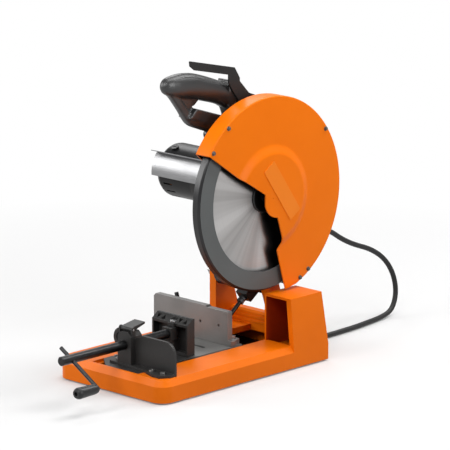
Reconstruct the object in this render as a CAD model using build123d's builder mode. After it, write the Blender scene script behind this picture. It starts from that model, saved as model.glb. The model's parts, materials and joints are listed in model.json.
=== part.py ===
from build123d import *
from math import atan2, cos, degrees, hypot, pi, radians, sin, sqrt, tan
import os

# Bench chop saw for metal: 355 mm toothed blade, hinged head, mitre fence and screw vice.

os.makedirs("parts", exist_ok=True)

# X points to the saw's right, Y to its rear, Z up. The origin is the centre of the
# base's footprint on the bench. All lengths are in millimetres.

# ---- clearances ----
gap = 0.3              # between pieces that move past each other
running = 0.05         # radial clearance of a shaft in its bore
seat = 0.15            # round a fixed piece in its pocket

# ---- base casting ----
base_width = 289.0
base_length = 459.0
base_corner = 27.0     # radius of its two front corners
foot_lift = 3.0        # the casting's rim above the bench
skirt_top = 34.0
base_top = 46.0
rail_slope = 9.0       # how far the sloping band leans in
base_wall = 6.0
slab = 12.0
bed_thick = 6.0
bed_left, bed_right = -62.0, 57.5
bed_front, bed_rear = -215.0, 76.0
well_right = 65.5      # inner edge of the right rail, beside the blade
well_rear = 200.0
pit_left = -38.0
ledge = 7.0
crossbar = 14.0

# ---- towers, rear beam and pivot ears ----
tower_front = 131.0
tower_top = 139.5
tower_lean_x = 9.0
tower_lean_y = 11.0
tower_wall = 4.0
tower_flange = 12.0
beam_top = 74.0
beam_front, beam_rear = well_rear, 226.0
beam_rib = 3.0
ear_front = 158.0
ear_inset = 33.5
left_ear_x, left_ear_width = ear_inset - base_width / 2, 17.0
mid_ear_x, mid_ear_width = 24.0, 14.0
ear_radius = 20.0

# ---- head geometry ----
pivot_y, pivot_z = 178.0, 150.0
arbor_y, arbor_z = 129.0, 333.0
motor_y, motor_z = 62.0, 372.0
pivot_r = 10.0
hub_r = 27.0
blade_r = 177.5
blade_x = 61.5
blade_thick = 2.2
blade_teeth = 66
tooth_depth = 6.5
bore_r = 12.7

# ---- guards ----
guard_r = 199.4
guard_face_x = 82.0
guard_depth = 38.0
sheet = 2.5
lower_r = 186.0
lower_bore = 146.9
lower_x0, lower_x1 = 53.0, 71.0
lower_start, lower_end = 152.0, 281.0
blister_r, blister_rise = 104.0, 8.0
boss_r = 29.0
plate_length, plate_width, plate_thick = 130.0, 33.5, 1.5

# ---- gears and shafts ----
gear_teeth, pinion_teeth = 46, 16
gear_x0, gear_x1 = 12.0, 30.0
case_x0, case_x1 = -2.0, 36.0
cover_x1 = guard_face_x - guard_depth
case_wall = 5.0
arbor_r = 14.0
rotor_shaft_r = 7.5

# ---- motor ----
motor_r = 53.0
motor_x0 = -100.0
motor_cap_x = -120.0
motor_wall = 3.5
cap_flat_r = motor_r - 20

# ---- fence ----
fence_face = 45.0
fence_left, fence_right = -155.0, 48.0
fence_thick = 13.0
fence_top = 117.0
fence_step = 3.0
fence_foot_rear = 76.0
fence_foot_high = 10.0
fence_pivot = (40.0, 67.0)
fence_lock = (-92.0, 67.0)
fence_swing = 30.0

# ---- vice ----
spindle_x, spindle_z = 8.0, 88.0
spindle_r = 9.0
spindle_front, spindle_rear = -362.0, -82.0
bracket_y = -184.0
bracket_thick = 6.0
bracket_right = 131.0
jaw_left, jaw_right = -46.0, 50.0
jaw_front, jaw_back = -68.0, -48.0
jaw_low, jaw_top = base_top + 0.5, 108.0
jaw_crest = 119.0
jaw_plate = 6.0
rod_r = 3.8
knob_r = 11.0
crank_throw = 83.5
rod_back = 32.0        # the crank rod's other end, past the spindle
spigot_r = 4.0


def at_x(x):
    """Plane across X: its local axes are Y and Z, and it extrudes towards +X."""
    return Plane.YZ.offset(x)


def at_y(y):
    """Plane across Y: its local axes are X and Z, and it extrudes towards -Y."""
    return Plane(origin=(0, y, 0), x_dir=(1, 0, 0), z_dir=(0, -1, 0))


def at_z(z):
    return Plane.XY.offset(z)


def save(part, name):
    part.label = name
    export_step(part, f"parts/{name}.step")


def ring_points(centre, radius, angle):
    return (centre[0] + radius * cos(radians(angle)), centre[1] + radius * sin(radians(angle)))


def footprint(inset=0.0):
    """The base outline: a rectangle with its two front corners rounded."""
    with BuildSketch(mode=Mode.PRIVATE) as outline:
        Rectangle(base_width - 2 * inset, base_length - 2 * inset)
        fillet(outline.vertices().sort_by(Axis.Y)[:2], base_corner - inset)
    return outline.sketch


arbor = (arbor_y, arbor_z)
pivot = (pivot_y, pivot_z)
motor = (motor_y, motor_z)
bed_bottom = base_top - bed_thick
slab_bottom = base_top - slab
half_width = base_width / 2
half_length = base_length / 2

# ---------------------------------------------------------------- base casting
tower_rear = half_length
lock_radius = hypot(fence_lock[0] - fence_pivot[0], fence_lock[1] - fence_pivot[1])
lock_angle = degrees(atan2(fence_lock[1] - fence_pivot[1], fence_lock[0] - fence_pivot[0]))
lock_slot_r = 4.4
bolt_r = 4.0
mount_r, mount_deep, lug_r = 4.25, 30.0, 9.0
mount_inset_x, mount_inset_y = 26.5, 124.5
mount_places = [(sx * (half_width - mount_inset_x), sy * (half_length - mount_inset_y))
                for sx in (-1, 1) for sy in (-1, 1)]
pan_top = foot_lift + 4.0
pan_bottom = foot_lift + 2.0

with BuildPart() as base_frame:
    with BuildSketch(at_z(foot_lift)):
        add(footprint())
    extrude(amount=skirt_top - foot_lift)
    with BuildSketch(at_z(skirt_top)):
        add(footprint())
    with BuildSketch(at_z(base_top)):
        add(footprint(rail_slope))
    loft()
    # right tower, a hollow box that leans in at its outer side and its rear
    with BuildSketch(at_z(skirt_top)):
        with Locations(((well_right + half_width) / 2, (tower_front + tower_rear) / 2)):
            Rectangle(half_width - well_right, tower_rear - tower_front)
    with BuildSketch(at_z(tower_top)):
        with Locations(((well_right + half_width - tower_lean_x) / 2,
                        (tower_front + tower_rear - tower_lean_y) / 2)):
            Rectangle(half_width - tower_lean_x - well_right,
                      tower_rear - tower_lean_y - tower_front)
    loft()
    # rear beam with two ribs along its front
    with BuildSketch(at_x(left_ear_x)):
        with BuildLine():
            Polyline((beam_front, skirt_top - 8), (beam_front, beam_top - 4),
                     (beam_front + 4, beam_top), (beam_rear - 6, beam_top),
                     (beam_rear, beam_top - 6), (beam_rear, skirt_top - 8), close=True)
        make_face()
    extrude(amount=well_right - left_ear_x + 1)
    with BuildSketch(at_x(left_ear_x + left_ear_width)):
        for height in (beam_top - 12, beam_top - 21):
            with Locations((beam_front - beam_rib / 2 + 0.5, height)):
                Rectangle(beam_rib, 4)
    extrude(amount=well_right - left_ear_x - left_ear_width)
    # the two ears that hold the pivot shaft
    for ear_x, ear_width in ((left_ear_x, left_ear_width), (mid_ear_x, mid_ear_width)):
        foot_front = ear_front if ear_x < bed_left else beam_front - 2
        with BuildSketch(at_x(ear_x)):
            with BuildLine():
                Polyline((foot_front, skirt_top), (pivot_y - ear_radius, pivot_z),
                         (pivot_y + ear_radius, pivot_z), (beam_rear - 2, beam_top - 4),
                         (beam_rear - 2, skirt_top), close=True)
            make_face()
            with Locations(pivot):
                Circle(ear_radius)
        extrude(amount=ear_width)
    # hollow underside
    with BuildSketch(at_z(foot_lift)):
        add(footprint(base_wall))
    extrude(amount=slab_bottom - foot_lift, mode=Mode.SUBTRACT)
    # opening under the bed, recess for the bed plate, and chip pit behind it
    with BuildSketch(at_z(slab_bottom)):
        with Locations(((bed_left + ledge + well_right) / 2,
                        (bed_front + ledge + bed_rear - crossbar) / 2)):
            Rectangle(well_right - bed_left - ledge, bed_rear - crossbar - bed_front - ledge)
    extrude(amount=slab, mode=Mode.SUBTRACT)
    with BuildSketch(at_z(bed_bottom)):
        with Locations(((bed_left + well_right) / 2, (bed_front + bed_rear) / 2)):
            Rectangle(well_right - bed_left, bed_rear - bed_front)
    extrude(amount=bed_thick, mode=Mode.SUBTRACT)
    with BuildSketch(at_z(slab_bottom - 8)):
        with Locations(((pit_left + well_right) / 2, (bed_rear + well_rear) / 2)):
            Rectangle(well_right - pit_left, well_rear - bed_rear)
        with Locations(((bed_right + well_right) / 2, bed_rear)):
            Rectangle(well_right - bed_right, 3 * crossbar)
    extrude(amount=slab + 8, mode=Mode.SUBTRACT)
    # inside of the tower, open at the front and below
    with BuildSketch(at_z(slab_bottom - 2)):
        with Locations(((well_right + half_width) / 2, (tower_front + tower_rear) / 2)):
            Rectangle(half_width - well_right - 2 * tower_wall,
                      tower_rear - tower_front - 2 * tower_wall)
    with BuildSketch(at_z(tower_top - tower_wall)):
        with Locations(((well_right + half_width - tower_lean_x) / 2,
                        (tower_front + tower_rear - tower_lean_y) / 2)):
            Rectangle(half_width - tower_lean_x - well_right - 2 * tower_wall,
                      tower_rear - tower_lean_y - tower_front - 2 * tower_wall)
    loft(mode=Mode.SUBTRACT)
    with BuildSketch(at_y(tower_front + 2 * tower_wall)):
        with BuildLine():
            Polyline((well_right + tower_wall, base_top),
                     (half_width - tower_flange, base_top),
                     (half_width - tower_lean_x - tower_flange, tower_top - tower_wall - 1),
                     (well_right + tower_wall, tower_top - tower_wall - 1), close=True)
        make_face()
    extrude(amount=4 * tower_wall, mode=Mode.SUBTRACT)
    # posts for the bench bolts, tapped from below
    with BuildSketch(at_z(0)):
        with Locations(*mount_places):
            Circle(lug_r)
    extrude(amount=slab_bottom + 2)
    with BuildSketch(at_z(0)):
        with Locations(*mount_places):
            Circle(mount_r)
    extrude(amount=mount_deep, mode=Mode.SUBTRACT)
    # hole for the fence's pivot bolt
    with BuildSketch(at_z(slab_bottom - 1)):
        with Locations(fence_pivot):
            Circle(bolt_r + running)
    extrude(amount=slab + 2, mode=Mode.SUBTRACT)
    # bores for the pivot shaft
    with BuildSketch(at_x(left_ear_x - 1)):
        with Locations(pivot):
            Circle(pivot_r + running)
    extrude(amount=mid_ear_x + mid_ear_width - left_ear_x + 2, mode=Mode.SUBTRACT)
    # arc slot for the fence lock, in the left rail
    with BuildSketch(at_z(slab_bottom - 1)):
        with Locations(fence_pivot):
            SlotArc(CenterArc((0, 0), lock_radius, lock_angle - fence_swing - 1, fence_swing + 2),
                    2 * lock_slot_r)
    extrude(amount=slab + 2, mode=Mode.SUBTRACT)
save(base_frame.part, "base_frame")

# ---------------------------------------------------------------- pan, feet and bed
foot_r, foot_inset = 11.0, 24.0
foot_places = [(sx * (half_width - foot_inset), sy * (half_length - foot_inset))
               for sx in (-1, 1) for sy in (-1, 1)]

with BuildPart() as bottom_pan:
    with BuildSketch(at_z(pan_bottom)):
        add(footprint(base_wall + gap))
        with Locations(*mount_places):
            Circle(lug_r + gap, mode=Mode.SUBTRACT)
    extrude(amount=pan_top - pan_bottom)
save(bottom_pan.part, "bottom_pan")

with BuildPart() as rubber_feet:
    with BuildSketch(at_z(0)):
        with Locations(*foot_places):
            Circle(foot_r)
    extrude(amount=pan_bottom)
    chamfer(rubber_feet.faces().filter_by(Axis.Z).group_by(Axis.Z)[0].edges(), 1.2)
save(rubber_feet.part, "rubber_feet")

with BuildPart() as bed_plate:
    with BuildSketch(at_z(bed_bottom)):
        with BuildLine():
            Polyline((bed_left + seat, bed_front + 32), (bed_left + 38, bed_front + seat),
                     (well_right - seat, bed_front + seat), (well_right - seat, bed_front + 20),
                     (bed_right, bed_front + 26), (bed_right, bed_rear - seat),
                     (bed_left + seat, bed_rear - seat), close=True)
        make_face()
        with Locations((4, -58)):
            SlotArc(CenterArc((0, 0), 66, 76, 28), 8, mode=Mode.SUBTRACT)
        with Locations(fence_pivot):
            Circle(bolt_r + running, mode=Mode.SUBTRACT)
    extrude(amount=bed_thick)
save(bed_plate.part, "bed_plate")

bed_screw_r = 3.0
bed_screw_places = [(bed_left + 4, bed_front + 60), (bed_left + 4, bed_rear - 50)]
with BuildPart() as bed_screws:
    for place in bed_screw_places:
        with BuildSketch(at_z(base_top)):
            with Locations(place):
                Circle(bed_screw_r)
        extrude(amount=2)
save(bed_screws.part, "bed_screws")

# ---------------------------------------------------------------- mitre fence
with BuildPart() as fence:
    with BuildSketch(at_y(fence_face + fence_thick)):
        with BuildLine():
            Polyline((fence_left, base_top + gap), (fence_right, base_top + gap),
                     (fence_right, fence_top - fence_step - 2), (fence_right - 2, fence_top - fence_step),
                     (-8, fence_top - fence_step), (-12, fence_top),
                     (fence_left + 5, fence_top), (fence_left, fence_top - 5), close=True)
        make_face()
    extrude(amount=fence_thick)
    # lightening pockets between ribs on the rear
    rib_pitch = 50.0
    rib_thick = 6.0
    with BuildSketch(at_y(fence_face + fence_thick)):
        for step in range(4):
            with Locations((fence_left + rib_thick + rib_pitch * (step + 0.5) - rib_thick / 2, 86)):
                Rectangle(rib_pitch - rib_thick, 46)
    extrude(amount=fence_thick - 6, mode=Mode.SUBTRACT)
    # foot behind the face, with a lobe round the lock and a toe at the blade
    with BuildSketch(at_z(base_top + gap)):
        with BuildLine():
            Polyline((fence_left + 40, fence_face + 4), (bed_right - 0.5, fence_face + 4),
                     (bed_right - 0.5, fence_face + 12), (bed_right - 8, fence_foot_rear),
                     (fence_left + 40, fence_foot_rear), close=True)
        make_face()
        with Locations((fence_right + 3, fence_face + 6)):
            Rectangle(13, 12)
    extrude(amount=fence_foot_high)
    with BuildSketch(at_y(fence_face)):
        for x in (-26, 23.5):
            with Locations((x, 83)):
                Circle(2.9)
    extrude(amount=-fence_thick, mode=Mode.SUBTRACT)
    for place in (fence_pivot, fence_lock):
        with BuildSketch(at_z(base_top)):
            with Locations(place):
                Circle(bolt_r + running)
        extrude(amount=fence_foot_high + 2, mode=Mode.SUBTRACT)
save(fence.part, "fence")

foot_top = base_top + gap + fence_foot_high
with BuildPart() as fence_pivot_bolt:
    with BuildSketch(at_z(slab_bottom - 6)):
        with Locations(fence_pivot):
            Circle(bolt_r)
    extrude(amount=foot_top - slab_bottom + 6 + running)
    with BuildSketch(at_z(foot_top + running)):
        with Locations(fence_pivot):
            RegularPolygon(6.4, 6)
    extrude(amount=5)
    with BuildSketch(at_z(slab_bottom - 5)):
        with Locations(fence_pivot):
            RegularPolygon(6.4, 6)
    extrude(amount=5)
save(fence_pivot_bolt.part, "fence_pivot_bolt")

with BuildPart() as fence_lock_bolt:
    with BuildSketch(at_z(slab_bottom - 5)):
        with Locations(fence_lock):
            RegularPolygon(7, 4)
    extrude(amount=4.7)
    with BuildSketch(at_z(slab_bottom - 1)):
        with Locations(fence_lock):
            Circle(bolt_r)
    extrude(amount=foot_top + 18 - slab_bottom + 1)
save(fence_lock_bolt.part, "fence_lock_bolt")

lever_tip = (fence_lock[0] - 26, fence_lock[1] + 4, 120.0)
with BuildPart() as fence_lock_lever:
    with BuildSketch(at_z(foot_top + gap)):
        with Locations(fence_lock):
            Circle(7.6)
    extrude(amount=14)
    lever_start = Vector(fence_lock[0] - 5.6, fence_lock[1] + 1, foot_top + 10)
    lever_line = Vector(*lever_tip) - lever_start
    with BuildSketch(Plane(origin=lever_start, z_dir=lever_line)):
        Circle(4.2)
    extrude(amount=lever_line.length)
    with BuildSketch(at_z(foot_top - 1)):
        with Locations(fence_lock):
            Circle(bolt_r + running)
    extrude(amount=30, mode=Mode.SUBTRACT)
save(fence_lock_lever.part, "fence_lock_lever")

# ---------------------------------------------------------------- vice
nut_left, nut_right = -10.0, 26.0
nut_front, nut_rear = -196.0, -166.0
spindle = (spindle_x, spindle_z)
bracket_foot = 5.0
flap_y, flap_z = nut_front + 8.0, 118.6
pin_r = 2.0

with BuildPart() as vise_bracket:
    # upright plate with a rounded outer corner
    with BuildSketch(at_y(bracket_y + bracket_thick)):
        with BuildLine():
            left = nut_right - 2
            Polyline((left, base_top), (bracket_right, base_top), (bracket_right, 88))
            RadiusArc((bracket_right, 88), (bracket_right - 26, 110), -26)
            Polyline((bracket_right - 26, 110), (left + 22, 110), (left, 100), (left, base_top))
        make_face()
    extrude(amount=bracket_thick)
    # foot on the bed and the right rail
    with BuildSketch(at_z(base_top)):
        with BuildLine():
            Polyline((-4, nut_front), (70, bracket_y - 18), (98, bracket_y - 29), (118, bracket_y - 29),
                     (bracket_right, bracket_y - 10), (bracket_right, bracket_y + bracket_thick),
                     (-4, bracket_y + bracket_thick), close=True)
        make_face()
    extrude(amount=bracket_foot)
    # block that carries the spindle nut
    with BuildSketch(at_y(nut_rear)):
        with BuildLine():
            Polyline((nut_left, base_top), (nut_right, base_top), (nut_right, 106),
                     (nut_right - 8, 114), (nut_left + 10, 114), (nut_left, 106), close=True)
        make_face()
    extrude(amount=nut_rear - nut_front)
    # left foot
    with BuildSketch(at_z(base_top)):
        with Locations((nut_left - 10, (nut_front + nut_rear) / 2)):
            Rectangle(24, nut_rear - nut_front)
    extrude(amount=bracket_foot)
    with BuildSketch(at_y(nut_rear + 1)):
        with Locations(spindle):
            Circle(spindle_r + running)
    extrude(amount=nut_rear - nut_front + 2, mode=Mode.SUBTRACT)
    # slot at the rear of the block for the half nut
    with BuildSketch(at_y(nut_rear - 6)):
        with Locations((spindle_x, spindle_z + 13)):
            Rectangle(20, 40)
    extrude(amount=16, mode=Mode.SUBTRACT)
    # two lugs on its top for the flap's pin
    for x in (nut_left, nut_right - 4 + gap):
        with BuildSketch(at_x(x)):
            with Locations((flap_y, flap_z)):
                Circle(5)
            with Locations((flap_y, flap_z - 6)):
                Rectangle(10, 12)
        extrude(amount=4 - gap)
    with BuildSketch(at_x(nut_left - 1)):
        with Locations((flap_y, flap_z)):
            Circle(pin_r + seat)
    extrude(amount=nut_right - nut_left + 2, mode=Mode.SUBTRACT)
    bracket_screws_at = [(112, bracket_y - 12), (84, bracket_y - 14), (nut_left - 14, nut_rear - 15)]
    with Locations(*[(x, y, base_top + bracket_foot) for x, y in bracket_screws_at]):
        Hole(3.3, depth=bracket_foot)
save(vise_bracket.part, "vise_bracket")

with BuildPart() as bracket_bolts:
    for x, y in bracket_screws_at:
        with BuildSketch(at_z(base_top)):
            with Locations((x, y)):
                Circle(3.0)
        extrude(amount=bracket_foot)
        with BuildSketch(at_z(base_top + bracket_foot)):
            with Locations((x, y)):
                Circle(5.5)
        extrude(amount=3.6)
        with BuildSketch(at_z(base_top + bracket_foot + 1.6)):
            with Locations((x, y)):
                RegularPolygon(2.9, 6)
        extrude(amount=2, mode=Mode.SUBTRACT)
save(bracket_bolts.part, "bracket_bolts")

# half nut: a block that drops on the spindle from above
with BuildPart() as half_nut:
    with BuildSketch(at_y(nut_rear - 6 - gap)):
        with Locations((spindle_x, spindle_z + 10)):
            Rectangle(20 - 2 * gap, 20)
        with Locations(spindle):
            Circle(spindle_r + running, mode=Mode.SUBTRACT)
    extrude(amount=16 - 2 * gap)
save(half_nut.part, "half_nut")

# quick release: a round cam housing with a flap lever that lifts the half nut
with BuildPart() as release_housing:
    with BuildSketch(at_y(nut_rear + 22)):
        with Locations((nut_left - 22, spindle_z + 1)):
            Circle(20)
            Circle(12, mode=Mode.SUBTRACT)
    extrude(amount=22)
    with BuildSketch(at_z(base_top)):
        with Locations((nut_left - 22, nut_rear + 11)):
            Rectangle(18, 22)
    extrude(amount=spindle_z - 18 - base_top)
save(release_housing.part, "release_housing")

# release flap, hinged on the top of the bracket block
flap_x0, flap_x1 = nut_left + 4.0, nut_right - 4.0
with BuildPart() as release_flap:
    with BuildSketch(at_x(flap_x0)):
        with BuildLine():
            Polyline((flap_y + 1, flap_z - 4), (flap_y + 34, flap_z + 6), (flap_y + 34, flap_z + 10),
                     (flap_y, flap_z + 4.2), close=True)
        make_face()
        with Locations((flap_y, flap_z)):
            Circle(4.2)
        with Locations((flap_y, flap_z)):
            Circle(pin_r + running, mode=Mode.SUBTRACT)
    extrude(amount=flap_x1 - flap_x0)
save(release_flap.part, "release_flap")

with BuildPart() as release_pin:
    with BuildSketch(at_x(nut_left)):
        with Locations((flap_y, flap_z)):
            Circle(pin_r)
    extrude(amount=nut_right - nut_left)
save(release_pin.part, "release_pin")

nose_r = 6.0
with BuildPart() as vise_spindle:
    with BuildSketch(at_y(spindle_front)):
        with Locations(spindle):
            Circle(spindle_r)
    extrude(amount=spindle_front - spindle_rear)
    chamfer(vise_spindle.faces().sort_by(Axis.Y)[0].edges(), 1.5)
    with BuildSketch(at_y(spindle_rear + 12)):
        with Locations(spindle):
            Circle(nose_r)
    extrude(amount=12)
    # cross hole for the crank rod
    rod_angle = -31.0
    rod_y = spindle_front + 27
    rod_dir = Vector(cos(radians(rod_angle)), 0, sin(radians(rod_angle)))
    rod_start = Vector(spindle_x, rod_y, spindle_z) - rod_dir * rod_back
    with BuildSketch(Plane(origin=rod_start, z_dir=rod_dir)):
        Circle(rod_r + running)
    extrude(amount=60, mode=Mode.SUBTRACT)
save(vise_spindle.part, "vise_spindle")

rod_length = rod_back + crank_throw
rod_end = rod_start + rod_dir * rod_length
with BuildPart() as crank_rod:
    with BuildSketch(Plane(origin=rod_start, z_dir=rod_dir)):
        Circle(rod_r)
    extrude(amount=rod_length + rod_r)
    # spigot that carries the knob
    with BuildSketch(at_y(rod_y)):
        with Locations((rod_end.X, rod_end.Z)):
            Circle(spigot_r)
    extrude(amount=52)
save(crank_rod.part, "crank_rod")

knob_y0, knob_y1 = rod_y - rod_r - 0.6, rod_y - 56.0
with BuildPart() as crank_knob:
    with BuildSketch(Plane(origin=(rod_end.X, 0, rod_end.Z), x_dir=(1, 0, 0), z_dir=(0, 0, 1))):
        with BuildLine():
            Polyline((spigot_r + running, knob_y0), (9, knob_y0), (10, knob_y0 - 6), (knob_r, knob_y1 + 12))
            Spline((knob_r, knob_y1 + 12), (knob_r - 0.6, knob_y1 + 4), (knob_r - 3, knob_y1))
            Polyline((knob_r - 3, knob_y1), (spigot_r + running, knob_y1), (spigot_r + running, knob_y0))
        make_face()
    revolve(axis=Axis((rod_end.X, 0, rod_end.Z), (0, 1, 0)))
save(crank_knob.part, "crank_knob")

# nose block: swallows the spindle's nose and carries the jaw on an upright pin
pin_y = jaw_front + 5.0
jaw_pin_r = 4.0
with BuildPart() as jaw_carrier:
    with BuildSketch(at_z(spindle_z - 12)):
        with Locations((spindle_x, (spindle_rear + gap + pin_y - 3) / 2)):
            Rectangle(24, pin_y - 3 - spindle_rear - gap)
        with Locations((spindle_x, pin_y)):
            Circle(8.5)
            Circle(jaw_pin_r, mode=Mode.SUBTRACT)
    extrude(amount=24)
    with BuildSketch(at_y(spindle_rear + 12.6)):
        with Locations(spindle):
            Circle(nose_r + running)
    extrude(amount=16, mode=Mode.SUBTRACT)
save(jaw_carrier.part, "jaw_carrier")

with BuildPart() as jaw_pin:
    with BuildSketch(at_z(spindle_z - 19)):
        with Locations((spindle_x, pin_y)):
            Circle(jaw_pin_r)
    extrude(amount=jaw_top - spindle_z + 19)
    with BuildSketch(at_z(jaw_top + gap)):
        with Locations((spindle_x, pin_y)):
            Circle(7)
    extrude(amount=3)
    with BuildSketch(at_z(jaw_top)):
        with Locations((spindle_x, pin_y)):
            Circle(jaw_pin_r)
    extrude(amount=gap)
save(jaw_pin.part, "jaw_pin")

with BuildPart() as vise_jaw:
    # clamping plate
    with BuildSketch(at_y(jaw_back)):
        with Locations(((jaw_left + jaw_right) / 2, (jaw_low + jaw_crest) / 2)):
            Rectangle(jaw_right - jaw_left, jaw_crest - jaw_low)
    extrude(amount=jaw_plate)
    # frame: two cheeks, a floor and a top web behind the plate
    with BuildSketch(at_x(jaw_left)):
        with BuildLine():
            Polyline((jaw_front, jaw_low), (jaw_back - jaw_plate + 0.5, jaw_low),
                     (jaw_back - jaw_plate + 0.5, jaw_crest - 1), (jaw_front, jaw_top), close=True)
        make_face()
    extrude(amount=jaw_right - jaw_left)
    # the front is open: a box with the spindle's nose inside
    with BuildSketch(at_y(jaw_back - jaw_plate)):
        with Locations(((jaw_left + jaw_right) / 2, (jaw_low + jaw_top) / 2 + 0.5)):
            Rectangle(jaw_right - jaw_left - 9, jaw_top - jaw_low - 11)
    extrude(amount=40, mode=Mode.SUBTRACT)
    # openwork along the sloping top: triangular windows that leave a zigzag web
    window = (jaw_right - jaw_left - 9) / 6
    for step in range(6):
        x0 = jaw_left + 4.5 + step * window
        if abs(x0 + window / 2 - spindle_x) < window:
            continue
        with BuildSketch(at_z(jaw_top - 8)):
            with BuildLine():
                if step % 2:
                    Polyline((x0 + 1.5, jaw_front + 2.5), (x0 + window - 1.5, jaw_front + 2.5),
                             (x0 + window / 2, jaw_back - jaw_plate - 1.5), close=True)
                else:
                    Polyline((x0 + 1.5, jaw_back - jaw_plate - 1.5),
                             (x0 + window - 1.5, jaw_back - jaw_plate - 1.5),
                             (x0 + window / 2, jaw_front + 2.5), close=True)
            make_face()
        extrude(amount=24, mode=Mode.SUBTRACT)
    # ears above and below the carrier, drilled for the pin
    for z0, high in ((jaw_low, spindle_z - 12.5 - jaw_low), (spindle_z + 12.5, jaw_top - spindle_z - 12.5)):
        with BuildSketch(at_z(z0)):
            with Locations((spindle_x, pin_y + 0.5)):
                Rectangle(17, 17.5)
        extrude(amount=high)
    with BuildSketch(at_z(jaw_low + 3)):
        with Locations((spindle_x, pin_y)):
            Circle(jaw_pin_r + running)
    extrude(amount=jaw_top - jaw_low, mode=Mode.SUBTRACT)
    # flat top round the pin's head
    with BuildSketch(at_z(jaw_top)):
        with Locations((spindle_x, pin_y)):
            Circle(8)
    extrude(amount=14, mode=Mode.SUBTRACT)
save(vise_jaw.part, "vise_jaw")

# ---------------------------------------------------------------- pivot shaft
with BuildPart() as pivot_shaft:
    with BuildSketch(at_x(left_ear_x - 12)):
        with Locations(pivot):
            Circle(pivot_r)
    extrude(amount=mid_ear_x + mid_ear_width - left_ear_x + 12 + 3)
    chamfer(pivot_shaft.faces().sort_by(Axis.X)[-1].edges(), 1)
save(pivot_shaft.part, "pivot_shaft")

with BuildPart() as pivot_nut:
    with BuildSketch(at_x(left_ear_x - 10)):
        with Locations(pivot):
            RegularPolygon(17, 6)
            Circle(pivot_r + running, mode=Mode.SUBTRACT)
    extrude(amount=10)
save(pivot_nut.part, "pivot_nut")

# ---------------------------------------------------------------- gear case and arm
gear_distance = hypot(motor_y - arbor_y, motor_z - arbor_z)
module = 2 * gear_distance / (gear_teeth + pinion_teeth)
gear_tip_r = module * gear_teeth / 2 + 0.8 * module
pinion_tip_r = module * pinion_teeth / 2 + 0.8 * module
gear_room_r = gear_tip_r + 1.5
pinion_room_r = pinion_tip_r + 1.5
case_r = gear_room_r + case_wall
motor_flange_r = motor_r
bearing_r, bearing_wide = 16.0, 9.0
stop_start = Vector(0, 146, 123.6)
stop_line = Vector(0, -34, -27).normalized()
stop_r, stop_length = 4.0, 66.0
relief_at = Vector(12.0, 196.6, 314.8)
relief_line = Vector(0, 0.82, -0.572).normalized()
relief_boss, relief_length = 16.0, 39.0
motor_x1 = -20.0
lock_pin_at = ring_points(arbor, 38, 30)
lock_pin_r = 4.0
arm_right = mid_ear_x - gap - 0.7
hub_left = left_ear_x + left_ear_width + gap + 0.7


def two_circles(centre_a, radius_a, centre_b, radius_b):
    """Outline of a belt drawn tight round two circles."""
    with BuildSketch(mode=Mode.PRIVATE) as belt:
        with Locations(centre_a):
            Circle(radius_a)
        with Locations(centre_b):
            Circle(radius_b)
        distance = hypot(centre_b[0] - centre_a[0], centre_b[1] - centre_a[1])
        line = degrees(atan2(centre_b[1] - centre_a[1], centre_b[0] - centre_a[0]))
        tilt = degrees(atan2(sqrt(distance ** 2 - (radius_a - radius_b) ** 2), radius_a - radius_b))
        with BuildLine():
            Polyline(ring_points(centre_a, radius_a, line + tilt),
                     ring_points(centre_b, radius_b, line + tilt),
                     ring_points(centre_b, radius_b, line - tilt),
                     ring_points(centre_a, radius_a, line - tilt), close=True)
        make_face()
    return belt.sketch


case_screws_at = [ring_points(arbor, case_r - 2.6, angle) for angle in (200, 250, 300, 0, 60)]
case_screws_at += [ring_points(motor, motor_flange_r - 11, angle) for angle in (95, 180)]

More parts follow.
